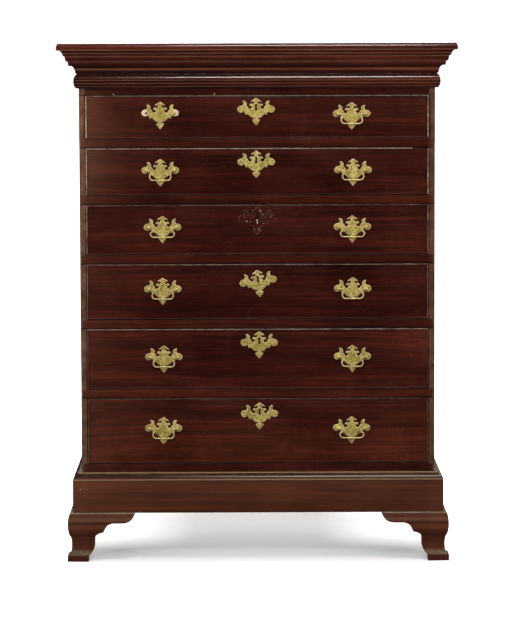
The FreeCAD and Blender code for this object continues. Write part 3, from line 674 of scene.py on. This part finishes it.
def lights():
    middle = (0, 0, 0.65)
    softbox("front", (0, -4.6, 3), middle, (1.5, 0.9), 112, gleams=False)
    softbox("front_left", (-3.8, -3.3, 0.7), middle, (1.6, 1.6), 104, gleams=False)
    softbox("front_right", (3.8, -3.3, 0.7), middle, (1.6, 1.6), 110, gleams=False)
    softbox("behind", (0, 4.5, 1.6), (0, 0, 0.6), (7, 3.2), 200, gleams=False)
    softbox("back_gleam", (0, 4.5, 1.9), (0, 0, 1.4), (1.9, 1.1), 19, fills=False)
    softbox("overhead", (0.17, -1.6, 3.5), (0.1, -0.2, 0.8), (0.95, 0.45), 30, gleams=False)
    warm = (1, 0.92, 0.84)
    softbox("gleam", (0.17, -2.35, 3), (0.1, -0.2, 0.8), (0.9, 0.17), 30, fills=False, tint=warm)
    softbox("left", (-2.4, -1.9, 1.9), (-0.2, -0.2, 1.1), (0.9, 1.6), 22, tint=warm)
    softbox("right", (2.4, -1.7, 1.9), (0.2, -0.2, 1.1), (0.9, 1.6), 18, tint=warm)
    world = bpy.data.worlds.new("world")
    world.use_nodes = True
    ground = world.node_tree.nodes["Background"]
    ground.inputs[0].default_value = (1, 1, 1, 1)
    ground.inputs[1].default_value = 0.012
    bpy.context.scene.world = world
    bpy.context.scene.view_settings.view_transform = "Standard"


# ---- case, mouldings and feet


def arc(start, through, end, count):
    """Points after start along the circle through three points in a plane."""
    (ax, ay), (bx, by), (cx, cy) = start, through, end
    d = 2 * (ax * (by - cy) + bx * (cy - ay) + cx * (ay - by))
    a2, b2, c2 = ax * ax + ay * ay, bx * bx + by * by, cx * cx + cy * cy
    ux = (a2 * (by - cy) + b2 * (cy - ay) + c2 * (ay - by)) / d
    uy = (a2 * (cx - bx) + b2 * (ax - cx) + c2 * (bx - ax)) / d
    radius = hypot(ax - ux, ay - uy)
    first = atan2(ay - uy, ax - ux)
    whole = 2 * pi
    to_mid = (atan2(by - uy, bx - ux) - first) % whole
    to_end = (atan2(cy - uy, cx - ux) - first) % whole
    sweep = to_end if to_mid < to_end else to_end - whole
    turns = [first + sweep * k / count for k in range(1, count + 1)]
    return [(ux + radius * cos(turn), uy + radius * sin(turn)) for turn in turns]


def on_circle(middle, radius, degrees):
    """Points of a circle, at angles in degrees from +x."""
    turns = [radians(angle) for angle in degrees]
    return [(middle[0] + radius * cos(a), middle[1] + radius * sin(a)) for a in turns]


def outline(start, steps, across, up, count=8):
    """Points of an outline whose steps are points or (through, end) arcs, in shares of two sizes."""
    points = [start]
    for step in steps:
        if isinstance(step[0], tuple):
            points += arc(points[-1], step[0], step[1], count)
        else:
            points.append(step)
    return [(x * across, z * up) for x, z in points]


# The corners (x, y) between which a moulding runs along each side; -y is the front.
RUNS = {"front": ((-1, -1), (1, -1)), "left": ((-1, 1), (-1, -1)), "right": ((1, -1), (1, 1))}


def moulding(node, profile, level, material, rng, sides=tuple(RUNS), lift=0):
    """Mitred lengths of one profile, (reach, z), along sides of the case. The tone rises by lift
    from the foot of the profile to its top: painted light, lighter towards the top."""
    bm, layers = wood_mesh()
    tall = max(z for _, z in profile)
    strips = zip(profile, profile[1:] + profile[:1])
    worn = [0.3 if dist(here, after) < ARRIS else 0 for here, after in strips]
    for side in sides:
        rows = []
        for corner_x, corner_y in RUNS[side]:
            rows.append([])
            for reach, z in profile:
                x = corner_x * (HALF_CASE + reach)
                y = FRONT - reach if corner_y < 0 else BACK
                grain = (x, y, z) if side == "front" else (y, x, z)
                rows[-1].append(((x, y, level + z), grain, lift * z / tall))
        wood_solid(bm, layers, rng, rows, worn, least=0.3, span=0.4)
    built_piece(bm, node + "_wood", material, node, smooth_under=32)


def softened(points):
    """The outline with each sharp corner cut back to three close points."""
    sharp = radians(28)
    made = []
    for k, here in enumerate(points):
        p, q, r = Vector(points[k - 1]), Vector(here), Vector(points[(k + 1) % len(points)])
        into, out = q - p, r - q
        if into.length < 1e-9 or out.length < 1e-9:
            continue
        if abs(into.angle_signed(out)) < sharp:
            made.append(tuple(q))
            continue
        cut = min(FILLET, into.length * 0.45, out.length * 0.45)
        before, after = q - into.normalized() * cut, q + out.normalized() * cut
        made += [tuple(before), tuple((before + after + 2 * q) / 4), tuple(after)]
    return made


def cornice_profile():
    tall = CORNICE[1].z - CORNICE[0].z
    reach = -TOP[0].x - HALF_CASE
    steps = [
        (0.12, 0), ((0.24, 0.16), (0.1, 0.365)), (0.1, 0.385), (0.15, 0.4), ((0.19, 0.505), (0.37, 0.592)),
        (0.46, 0.597), (0.485, 0.7), (0.56, 0.715), ((0.6, 0.77), (0.62, 0.84)), (0.695, 0.855),
        ((0.75, 0.935), (0.88, 1)), (0, 1),
    ]
    return softened(outline((0, 0), steps, reach, tall))


def base_profile():
    tall = MOULDING[1].z - MOULDING[0].z
    reach = PLINTH[1].x - HALF_CASE
    steps = [
        (1, 0), ((0.93, 0.22), (0.74, 0.4)), (0.65, 0.43), ((0.55, 0.58), (0.52, 0.8)),
        (0.45, 0.83), (0.45, 1), (0, 1),
    ]
    return softened(outline((0, 0), steps, reach, tall))


def top_board(rng):
    """The top: a flat board whose front and ends are rounded, most just above their foot."""
    foot, thick = TOP[0].z, TOP[1].z - TOP[0].z
    lap = TOP[1].x - HALF_CASE
    radius = 20 * MM
    belly = 0.3 * thick
    count = 12
    levels = [thick * k / count for k in range(count + 1)]
    nose = [(sqrt(radius ** 2 - (z - belly) ** 2) - radius, z) for z in levels]
    quirk, inner = (-0.12 * lap, 0), (-0.5 * lap, thick)
    bm, edge = new_mesh()
    rings = []
    for reach, z in softened([quirk] + nose + [inner])[2:-1]:
        x, y, back = TOP[1].x + min(reach, 0), TOP[0].y - min(reach, 0), TOP[1].y
        corners = ((-x, back), (-x, y), (x, y), (x, back))
        rings.append([bm.verts.new((*corner, foot + z)) for corner in corners])
    for low, high in zip(rings, rings[1:]):
        narrow = (high[1].co - low[1].co).length < 1.5 * ARRIS
        wall(bm, edge, low, high, 0.15 if narrow else 0)
    close_ends(bm, rings)
    bmesh.ops.recalc_face_normals(bm, faces=bm.faces)
    set_grain(bm, rng, along=0, shade=1.6)
    make_piece(bm, "top_board_wood", CASE_WOOD, "top_board", smooth_under=32)


def smooth_line(points, count):
    """A Catmull-Rom curve through points; a point given twice stays a sharp corner."""
    made = []
    for k in range(len(points) - 1):
        p1, p2 = Vector(points[k]), Vector(points[k + 1])
        if (p2 - p1).length < 1e-9:
            continue
        p0 = Vector(points[k - 1]) if k else p1
        p3 = Vector(points[k + 2]) if k + 2 < len(points) else p2
        for n in range(count):
            t = n / count
            made.append(tuple(0.5 * (
                2 * p1 + (p2 - p0) * t + (2 * p0 - 5 * p1 + 4 * p2 - p3) * t * t
                + (3 * p1 - p0 - 3 * p2 + p3) * t ** 3
            )))
    return made + [tuple(points[-1])]


def foot_section():
    """Half section of the ogee: how far out of the case each level stands, pad first."""
    far = -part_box("foot_front_left")[0].x - HALF_CASE
    steps = [
        (1, PAD / FOOT_HEIGHT), (0.965, 0.135), ((0.7, 0.346), (0.857, 0.546)), ((0.99, 0.74), (0.64, 1)),
    ]
    section = outline((1, 0), steps, far, FOOT_HEIGHT, count=14)
    return [(min(out, far), z) for out, z in section]


def out_at(section, z):
    """How far out of the case the section stands at a level."""
    for (r0, z0), (r1, z1) in zip(section, section[1:]):
        if z0 <= z <= z1 and z1 > z0:
            return r0 + (r1 - r0) * (z - z0) / (z1 - z0)
    return section[-1][0]


def scroll_line():
    """The sawn edge of a bracket from its pad up to the wing, (length, z), smooth between corners."""
    pad = PAD / FOOT_HEIGHT
    lower = [
        (0.25, 0), (0.253, pad), (0.253, pad), (0.285, 0.15), (0.324, 0.224), (0.346, 0.3),
        (0.351, 0.4), (0.355, 0.485), (0.38, 0.55), (0.43, 0.585), (0.489, 0.605), (0.489, 0.605),
    ]
    upper = [
        (0.51, 0.66), (0.54, 0.73), (0.59, 0.775), (0.67, 0.8), (0.77, 0.795), (0.85, 0.805),
        (0.91, 0.836), (0.96, 0.9), (0.987, 0.965), (1, 1),
    ]
    points = smooth_line(lower, 7) + smooth_line(upper, 7)
    return [(x * FOOT_LENGTH, z * FOOT_HEIGHT) for x, z in points]


def bracket(bm, layers, rng, place, mitred=False, plain=False):
    """One bracket: a sawn board, with an ogee face unless it is plain. place maps (along, out, z)
    from the plinth's corner to the frame: along runs to the wing, out is measured from the case."""
    section = foot_section()
    thick = PLINTH[1].x - HALF_CASE
    line = scroll_line()
    levels = sorted({z for _, z in section})
    sampled = []
    for (x0, z0), (x1, z1) in zip(line, line[1:]):
        sampled.append((x0, z0))
        for z in levels:
            if z0 + 1e-6 < z < z1 - 1e-6:
                sampled.append((x0 + (x1 - x0) * (z - z0) / (z1 - z0), z))
    sampled.append(line[-1])
    rows = []
    for far, z in sampled:
        out = thick if plain else out_at(section, z)
        start_in = thick if mitred or plain else 0
        start_out = thick - out if mitred else start_in
        spots = ((start_out, out, z), (far, out, z), (far, 0, z), (start_in, 0, z))
        rows.append([(place(*spot), spot, 0) for spot in spots])
    wood_solid(bm, layers, rng, rows)


def bracket_foot(rng, hand, end, node):
    """One foot: two brackets mitred at the front corner, or at the rear a side bracket and a
    plain one behind the case. hand is -1 on the left and 1 on the right."""
    corner = PLINTH[1].x

    def across(along, out, z):
        return (hand * (corner - along), FRONT - out, z)

    def running(along, out, z):
        y = PLINTH[0].y + along if end == "front" else BACK - along
        return (hand * (HALF_CASE + out), y, z)

    def behind(along, out, z):
        return (hand * (corner - along), BACK - (corner - HALF_CASE) + out, z)

    bm, layers = wood_mesh()
    if end == "front":
        bracket(bm, layers, rng, across, mitred=True)
        bracket(bm, layers, rng, running, mitred=True)
    else:
        bracket(bm, layers, rng, running)
        bracket(bm, layers, rng, behind, plain=True)
    bmesh.ops.remove_doubles(bm, verts=bm.verts, dist=2e-6)
    built_piece(bm, node + "_wood", BASE_WOOD, node, smooth_under=28)


RUNNER_WEAR = 0.05 * MM
# Wear and painted sheen on the front edges of the case sides.
SIDE_WEAR_AND_SHEEN = {"side_left": 0.24, "side_right": 0.14}
BLADE_TONE = (0.7, 1.06, 0.6, 0, 0.5, 0.9)  # from the bottom rail up


def case(rng):
    for node, wear in SIDE_WEAR_AND_SHEEN.items():
        wear_and_sheen_front(boards(node, CASE_WOOD, rng, shade=0.7), wear)
    boards("drawer_blades", CASE_WOOD, rng, shortest=20 * MM, shade=BLADE_TONE)
    boards("top_rail", CASE_WOOD, rng, shortest=20 * MM, shade=0.35)
    boards("plinth", BASE_WOOD, rng, width=0.9 * MM)
    for node in ("back_boards", "foot_blocks", "bottom_board"):
        boards(node, PINE, rng, width=0.8 * MM)
    runners = boards("drawer_runners", PINE, rng, width=0.8 * MM)
    runners.data.transform(Matrix.Translation((0, 0, -RUNNER_WEAR)))
    for side in RUNS:
        moulding(f"cornice_{side}", cornice_profile(), CORNICE[0].z, CASE_WOOD, rng, (side,), lift=2.2)
    moulding("base_moulding", base_profile(), MOULDING[0].z, BASE_WOOD, rng)
    top_board(rng)
    for hand, side in ((-1, "left"), (1, "right")):
        for end in ("front", "rear"):
            bracket_foot(rng, hand, end, f"foot_{end}_{side}")


# ---- drawers


# Per drawer: wear and painted highlight of the bead's uprights and of its top strip, and the
# tone of the front.
UPRIGHT_WEAR_AND_HIGHLIGHT = {1: 1.2, 2: 1, 3: 0.5, 4: 0.3, 5: 0.15, 6: 0.15}
TOP_WEAR_AND_HIGHLIGHT = {1: 0.3, 2: 0.6, 3: 0.12, 4: 0.3, 5: 0.5, 6: 0.12}
FRONT_TONE = {1: 0.6, 2: 0.1, 3: 1, 4: 0.1, 5: 0.85, 6: 1.1}
# Painted sheen and shade: how much paler each front is at its left and right end, and how free
# it is of the painted brown sheen.
FRONT_SHEEN = {
    1: (0.2, 0.18, 0), 2: (0.2, 0.62, 0), 3: (0.05, -0.05, 0.85),
    4: (0.6, 0.37, 0.5), 5: (0.15, 0.56, 0.4), 6: (0.28, 0.06, 0.1),
}
LOST_BEAD = {2: 43 * MM}  # what a top bead has lost at its right end
BEAD_WIDE = 3 * MM


def bead_strip(bm, layers, rng, length, deep, proud, worn, lost, at, run, inwards):
    """A strip of cock bead with a round nose, mitred at both ends. The middle of its outer edge
    is at a point of the drawer's face; run and inwards are its directions, (x, z)."""
    half = BEAD_WIDE / 2
    nose = proud - half
    count, pieces = 10, 24
    turns = [pi * k / count for k in range(1, count)]
    section = [(-deep, 0), (nose, 0)]
    section += [(nose + half * sin(turn), half - half * cos(turn)) for turn in turns]
    section += [(nose, BEAD_WIDE), (-deep, BEAD_WIDE)]
    pale_edge = nose + 0.05 * BEAD_WIDE
    strips = zip(section, section[1:] + section[:1])
    # The nose of the bead takes the pale edge colour by worn: wear and painted highlight.
    wear = [worn if min(here[0], after[0]) > pale_edge else 0 for here, after in strips]
    rows = []
    for k in range(pieces + 1):
        share = k / pieces
        rows.append([])
        for out, up in section:
            first = -length / 2 + (lost if lost else up)
            last = length / 2 - up
            along = first + (last - first) * share
            x = at[0] + run[0] * along + inwards[0] * up
            z = at[2] + run[1] * along + inwards[1] * up
            rows[-1].append(((x, at[1] - out, z), (along, out, up), 0))
    wood_solid(bm, layers, rng, rows, wear)


def drawer_bead(number, rng):
    node = f"drawer_{number}_bead"
    low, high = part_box(node)
    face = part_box(f"drawer_{number}_front")[0].y
    proud, deep = face - low.y, high.y - face
    across, tall = high.x - low.x, high.z - low.z
    x, z = (low.x + high.x) / 2, (low.z + high.z) / 2
    uprights = UPRIGHT_WEAR_AND_HIGHLIGHT[number]
    bm, layers = wood_mesh()
    for length, worn, lost, at, run, inwards in (
        (across, -0.8, 0, (x, face, low.z), (1, 0), (0, 1)),
        (across, TOP_WEAR_AND_HIGHLIGHT[number], LOST_BEAD.get(number, 0), (x, face, high.z), (-1, 0), (0, -1)),
        (tall, uprights, 0, (low.x, face, z), (0, 1), (1, 0)),
        (tall, 0.75 * uprights, 0, (high.x, face, z), (0, 1), (-1, 0)),
    ):
        bead_strip(bm, layers, rng, length, deep, proud, worn, lost, at, run, inwards)
    built_piece(bm, node + "_wood", DRAWER_WOOD, node, f"drawer_{number}", smooth_under=50)


def drawers(rng):
    for number in DRAWERS:
        body = f"drawer_{number}"
        front = boards(
            f"drawer_{number}_front", DRAWER_WOOD, rng, body, width=0.5 * MM, shortest=60 * MM, along=0,
            shade=FRONT_TONE[number],
        )
        for value in front.data.attributes.new("ends", "FLOAT_VECTOR", "POINT").data:
            value.vector = FRONT_SHEEN[number]
        boards(f"drawer_{number}_box", PINE, rng, body, width=0.8 * MM, shortest=60 * MM, along="box")
        drawer_bead(number, rng)


# ---- brasses

# Right half of the bat-wing plate in mm from its middle, from the crown down to the neck, then
# the tip below it, and the broken end of a plate that has lost its tip. A pair is a point; two
# pairs are an arc through the first to the second.
CROWN = (0, 36.4)
WING = [
    ((3.4, 35.3), (4.8, 33)), ((8.2, 31.8), (11.6, 29.4)), ((13, 27.6), (12.6, 25)),
    ((8.6, 28), (4.6, 23.6)), ((8.2, 20.6), (13.2, 21.3)), ((17.4, 18.9), (17.2, 15)),
    ((14.8, 15.9), (12.2, 14.6)), ((11, 11.6), (14, 8.4)), ((17.6, 7.3), (20.6, 9.6)),
    ((22.6, 13.6), (26.3, 16.8)), ((25.1, 21.4), (27.5, 26.2)), ((30.6, 28.9), (35.2, 29.1)),
    (36.3, 27.7), ((33.8, 22), (37.2, 16)), ((41.8, 15.9), (45.6, 14)), ((50, 6.4), (46, -0.6)),
    ((40.6, -2.5), (34.4, -0.8)), (31.9, 1), ((30.2, -1.4), (29.4, -4.6)), (27, -8.7),
    ((22.9, -6.3), (19.1, -8.9)), ((14.6, -12.9), (9.4, -16.4)), ((6.4, -15.9), (3.4, -18.8)),
]
TIP = [((6.4, -20), (10.4, -22)), (10, -24.2), ((4.7, -31), (0, -36.6))]
BROKEN_TIP = [(0, -19.6)]
PLATE_THICK = 1.2 * MM
FILM = 0.12 * MM  # thickness of wax, flecks and chips
POST_HALF = 37.5 * MM
POST_RISE = 6 * MM
POST_BORE = 3 * MM
SHANK_HALF = 2.2 * MM
NUT_HALF = 4.5 * MM
NUT_THICK = 3.5 * MM
FRONT_THICK = 20 * MM
HANDLE_X = 254 * MM
KEY_RISE = 17.4 * MM  # the keyhole's round above the middle of its plate
KEY_DROP = 26.4 * MM  # the same below the top of its drawer front

# How far each plate stands off its regular place, in mm: left handle, right handle, key plate
# with its turn in degrees.
HANDLE_SHIFT = {
    1: ((-4.5, 4), (-1.5, 1)), 2: ((-5, -3), (2, -3)), 3: ((0, 0), (0, 0)),
    4: ((0, 1), (1, 1)), 5: ((2, -1), (0, -1)), 6: ((0, 0), (-2, 0)),
}
KEY_SHIFT = {
    1: (-2.5, 0, 0), 2: (-2.5, 0, 0), 3: (0, 0, 0), 4: (2.5, 9, 7.5), 5: (4, 0, 0), 6: (4.5, 5, 0),
}
BARE_KEYHOLE = 3  # the drawer that has lost its key plate
BARE_HANDLE = (1, 0)  # drawer and hand of the handle that has lost its bail and left post
# Beyond this reach the lobes of the bare handle are worn bright and carry a painted highlight.
BARE_LOBE = 35 * MM  # its lobes are bright beyond this
BARE_WEAR_AND_HIGHLIGHT = 1.25
BROKEN_PLATE = (4, 1)  # drawer and hand of the plate that has lost its tip


def handle_at(number, hand):
    """Middle (x, z) of a handle plate; hand 0 is the left one."""
    low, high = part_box(f"drawer_{number}_front")
    x, z = HANDLE_SHIFT[number][hand]
    return ((HANDLE_X if hand else -HANDLE_X) + x * MM, (low.z + high.z) / 2 + z * MM)


def key_at(number):
    """Middle (x, z) of a key plate, and its turn."""
    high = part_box(f"drawer_{number}_front")[1]
    x, drop, turn = KEY_SHIFT[number]
    return (x * MM, high.z - KEY_DROP - drop * MM - KEY_RISE), radians(turn)


def wing_outline(tipless=False):
    steps = WING + (BROKEN_TIP if tipless else TIP)
    right = [Vector(p) for p in outline(CROWN, steps, MM, MM, count=5)]
    return right + [Vector((-p.x, p.y)) for p in reversed(right[1:-1])]


def round_hole(x, z, radius, count=16):
    turns = [2 * pi * k / count for k in range(count)]
    return [Vector((x + radius * cos(turn), z + radius * sin(turn))) for turn in turns]


def keyhole_outline():
    """A round over a slot that widens downwards, from the middle of its plate."""
    top = on_circle((0, KEY_RISE / MM), 3.3, range(-60, 241, 20))
    return [Vector(p) * MM for p in top + [(-3.5, 3.4), (3.5, 3.4)]]


def loop_at(bm, spot, turn, points, depth):
    """A closed loop of vertices for points (x, z) on a plate's plane, depth off the drawer front."""
    return [
        bm.verts.new(Vector((spot[0], FRONT - depth, spot[1])) + turn @ Vector((p.x, 0, p.y)))
        for p in points
    ]


def inset(points, by):
    """The outline moved inwards by a small distance; outlines run clockwise, holes too."""
    moved = []
    for k, here in enumerate(points):
        along = (points[(k + 1) % len(points)] - points[k - 1]).normalized()
        moved.append(here + Vector((along.y, -along.x)) * by)
    return moved


def fill(bm, loops):
    """A flat face between an outline and its holes."""
    pairs = [(loop[k - 1], loop[k]) for loop in loops for k in range(len(loop))]
    lines = [bm.edges.get(pair) or bm.edges.new(pair) for pair in pairs]
    bmesh.ops.triangle_fill(bm, use_beauty=True, edges=lines, normal=(0, -1, 0))


def add_plate(bm, edge, spot, outside, holes, tilt=0):
    """A plate with a filed bevel round its face; its back lies on the drawer front."""
    turn = Matrix.Rotation(-tilt, 3, "Y")
    bevel = 0.9 * MM
    back = [loop_at(bm, spot, turn, points, 0) for points in [outside] + holes]
    rim = [loop_at(bm, spot, turn, points, 0.4 * PLATE_THICK) for points in [outside] + holes]
    top = [loop_at(bm, spot, turn, points, PLATE_THICK) for points in [inset(outside, bevel)] + holes]
    # Edge values: the pale colour of worn polish and painted highlight, full on the upper bevel.
    for lower, upper, worn in ((back, rim, 0.3), (rim, top, 1)):
        for low, high in zip(lower, upper):
            wall(bm, edge, low, high, worn)
    fill(bm, back)
    fill(bm, [[bm.verts.new(v.co) for v in loop] for loop in top])


def add_block(bm, low, high):
    made = bmesh.ops.create_cube(bm, size=1)
    for v in made["verts"]:
        v.co = Vector([low[k] + (v.co[k] + 0.5) * (high[k] - low[k]) for k in range(3)])


POST = [
    (1.2, 4.6), (1.8, 4.9), (2.4, 4.5), (2.9, 3.2), (4.2, 2.5), (6.2, 2.6), (7.6, 3.4),
    (9.2, 3.9), (11, 4), (12.8, 3.7), (14.2, 2.6), (15, 0.9),
]  # distance off the front and radius, mm


def add_post(bm, edge, x, z):
    """Collar, waist and ball head, and the square shank with its nut behind the front."""
    rings = [
        loop_at(bm, (x, z), Matrix.Identity(3), round_hole(0, 0, radius * MM, 20), off * MM)
        for off, radius in POST
    ]
    skin(bm, edge, rings, 0.2)
    back = FRONT + FRONT_THICK
    for half, start, stop in (
        (SHANK_HALF, FRONT - PLATE_THICK, back),
        (NUT_HALF, back, back + NUT_THICK),
    ):
        add_block(bm, (x - half, start, z - half), (x + half, stop, z + half))


def bail(joint):
    """A cast bail: round pins, a bend down, an outward flare, and a grip that swells. Its arms
    spread as far as those of the CAD bail. Sizes are in mm."""
    node = joint["child"]
    centre = Vector(joint["pos_m"])
    lower = [v.co.x - centre.x for v in NODES[node].data.vertices if v.co.z < centre.z - 12 * MM]
    cad_arm = 1.9
    spread = max(lower) / MM - cad_arm
    drop, neck, bend, corner = 25.5, 24, 3.2, 9
    pin, arm, swell, grip_half = 1.55, 1.75, 0.35, 15
    half = [(POST_HALF / MM + 3.4, 0), (33, 0), (30.5, 0)]
    half += on_circle((neck + bend, -bend), bend, (90, 112, 135, 157, 180))
    half.append((neck + 0.32 * (spread - neck), -bend - 0.45 * (drop - corner - bend)))
    half += on_circle((spread - corner, corner - drop), corner, (18, 0, -22, -45, -67, -90))
    half += [(spread * 0.32, -drop + 0.1), (spread * 0.12, -drop)]
    line = smooth_line(half + [(-x, z) for x, z in reversed(half)], 4)
    bm, edge = new_mesh()
    side = Vector((0, 1, 0))
    count = 14
    rows = []
    for k, (x, z) in enumerate(line):
        ahead, behind = line[min(k + 1, len(line) - 1)], line[max(k - 1, 0)]
        along = Vector((ahead[0] - behind[0], 0, ahead[1] - behind[1])).normalized()
        up = along.cross(side)
        grip = max(0, 1 - abs(x) / grip_half) if z < -0.8 * drop else 0
        radius = pin if abs(x) > 31 and z > -1 else arm + swell * grip * grip * (3 - 2 * grip)
        row = []
        for n in range(count):
            a = 2 * pi * n / count
            p = Vector((x, 0, z)) + radius * (cos(a) * side + sin(a) * up)
            row.append(bm.verts.new(centre + p * MM))
        rows.append(row)
    # The whole bail takes the pale edge colour: worn polish and painted highlight.
    skin(bm, edge, rows, 0.5)
    built_piece(bm, node + "_brass", BRASS, node, node, smooth_under=60)


def lock_case(number):
    """The CAD lock, which stands behind the front with a channel for its bolt: all of the brasses
    but the plates and posts, which lie nearer the front or further from the middle."""
    nearest, furthest = FRONT + 8 * MM, 60 * MM
    node = f"drawer_{number}_brasses"
    bm = bmesh.new()
    bm.from_mesh(NODES[node].data)
    others = [v for v in bm.verts if v.co.y < nearest or abs(v.co.x) > furthest]
    bmesh.ops.delete(bm, geom=others, context="VERTS")
    bm.faces.layers.float.new("edge")
    make_piece(bm, f"drawer_{number}_lock", IRON, node, f"drawer_{number}", smooth_under=35)


def brasses(number):
    node = f"drawer_{number}_brasses"
    bm, edge = new_mesh()
    holes = [round_hole(side * POST_HALF, POST_RISE, POST_BORE) for side in (-1, 1)]
    for hand in (0, 1):
        x, z = handle_at(number, hand)
        add_plate(bm, edge, (x, z), wing_outline((number, hand) == BROKEN_PLATE), holes)
        sides = (-1, 1)
        if (number, hand) == BARE_HANDLE:
            sides = (1,)
            # Wear and painted highlight on the bare handle's lobes.
            for face in bm.faces:
                if abs(face.calc_center_median().x - x) > BARE_LOBE:
                    face[edge] = BARE_WEAR_AND_HIGHLIGHT
        for side in sides:
            add_post(bm, edge, x + side * POST_HALF, z + POST_RISE)
    if number != BARE_KEYHOLE:
        spot, tilt = key_at(number)
        add_plate(bm, edge, spot, wing_outline(), [keyhole_outline()], tilt)
    built_piece(bm, f"drawer_{number}_plates", BRASS, node, f"drawer_{number}", smooth_under=35)


# Flecks of old wax, and painted glints of bright metal, where drawer 3 has lost its key plate:
# (x, z, half width, half height) in mm from the middle of the plate, and how bright.
FLECKS_AND_GLINTS = [
    (-1.2, 2.6, 1.6, 2.6, 1), (0.2, -4.4, 1.2, 3.4, 1), (-28.5, -0.6, 1.7, 1.2, 0.9),
    (-18.5, -1.6, 1.1, 1.4, 0.6), (16.5, -7, 1.1, 1.1, 0.6), (2.6, -21, 1.4, 1.1, 0.3),
    (4, -25, 1.2, 1.4, 0.35), (8, 26.5, 2.4, 2.2, 0.1), (-34.5, 9, 1.2, 3, 0),
    (36, 12, 1.1, 3.4, 0.1), (14, 17, 2.4, 0.9, 0.2),
]


# Chips in the case, by node: how far the face stands ahead of the case, and (x, z, half width,
# half height) in mm and the brightness of each.
CHIPS = {
    "top_rail": (0, [(-383, 1252.8, 1.7, 1.3, 0.6), (-113.5, 1252.8, 1.6, 1.3, 0.6)]),
    "plinth": (FRONT - PLINTH[0].y, [(-478, 194, 1.4, 1.6, 0.5), (-124, 188, 4, 0.7, 0)]),
}


def fleck(x, z, wide, tall):
    corners = [(-wide, 0), (-0.3 * wide, tall), (wide, 0.4 * tall), (0.5 * wide, -tall)]
    return [Vector((x + dx, z + dz)) * MM for dx, dz in corners]


def film(bm, edge, at, points, bright, ahead=0, tilt=0):
    """A thin film with the outline points on a face that stands ahead of the case."""
    level = Matrix.Rotation(-tilt, 3, "Y")
    low = loop_at(bm, at, level, points, ahead)
    high = loop_at(bm, at, level, points, ahead + FILM)
    wall(bm, edge, low, high, bright)
    bm.faces.new(high)[edge] = bright
    bm.faces.new(low)


def lost_plate(rng):
    """The broken line of wax that a lost plate leaves round its outline, the flecks in it, some of
    them painted glints of metal, and painted shade in its bare keyhole.
    """
    bm, edge = new_mesh()
    kept, line = 0.6, 0.9 * MM
    at = key_at(BARE_KEYHOLE)[0]
    outer = wing_outline()
    inner = inset(outer, line)
    for k in range(len(outer)):
        n = (k + 1) % len(outer)
        if rng.random() < kept:
            film(bm, edge, at, [outer[k], outer[n], inner[n], inner[k]], 0)
    for *place, bright in FLECKS_AND_GLINTS:
        film(bm, edge, at, fleck(*place), bright)
    # Painted shade: a near-black film in the bare keyhole.
    film(bm, edge, at, keyhole_outline(), -1)
    built_piece(bm, "drawer_3_lost_plate", WAX, "drawer_3_front", "drawer_3")


def chips():
    for node, (ahead, places) in CHIPS.items():
        bm, edge = new_mesh()
        for *place, bright in places:
            film(bm, edge, (0, 0), fleck(*place), bright, ahead)
        built_piece(bm, f"{node}_chips", WAX, node)


def bore_shade_films():
    """Painted shade: near-black films in the bores of the fronts, the keyholes under their plates
    and the hole where the lost bail's left post stood."""
    for number in DRAWERS:
        if number == BARE_KEYHOLE:
            continue
        bm, edge = new_mesh()
        spot, tilt = key_at(number)
        film(bm, edge, spot, inset(keyhole_outline(), 0.1 * MM), -1, tilt=tilt)
        if number == BARE_HANDLE[0]:
            x, z = handle_at(*BARE_HANDLE)
            film(bm, edge, (x - POST_HALF, z + POST_RISE), round_hole(0, 0, POST_BORE), -1)
        built_piece(bm, f"drawer_{number}_bore_shade_films", WAX, f"drawer_{number}_front", f"drawer_{number}")


def metalwork(rng):
    chips()
    bore_shade_films()
    lost_plate(rng)
    for number in DRAWERS:
        brasses(number)
        lock_case(number)
        bolt = NODES[f"lock_bolt_{number}"].data.materials
        bolt.clear()
        bolt.append(IRON)
    for joint in frame["joints"]:
        if joint["child"].startswith("bail_"):
            bail(joint)


# ---- all of it


def main():
    rng = random.Random(SEED)
    camera()
    pale_floor()
    lights()
    case(rng)
    drawers(rng)
    metalwork(rng)


main()
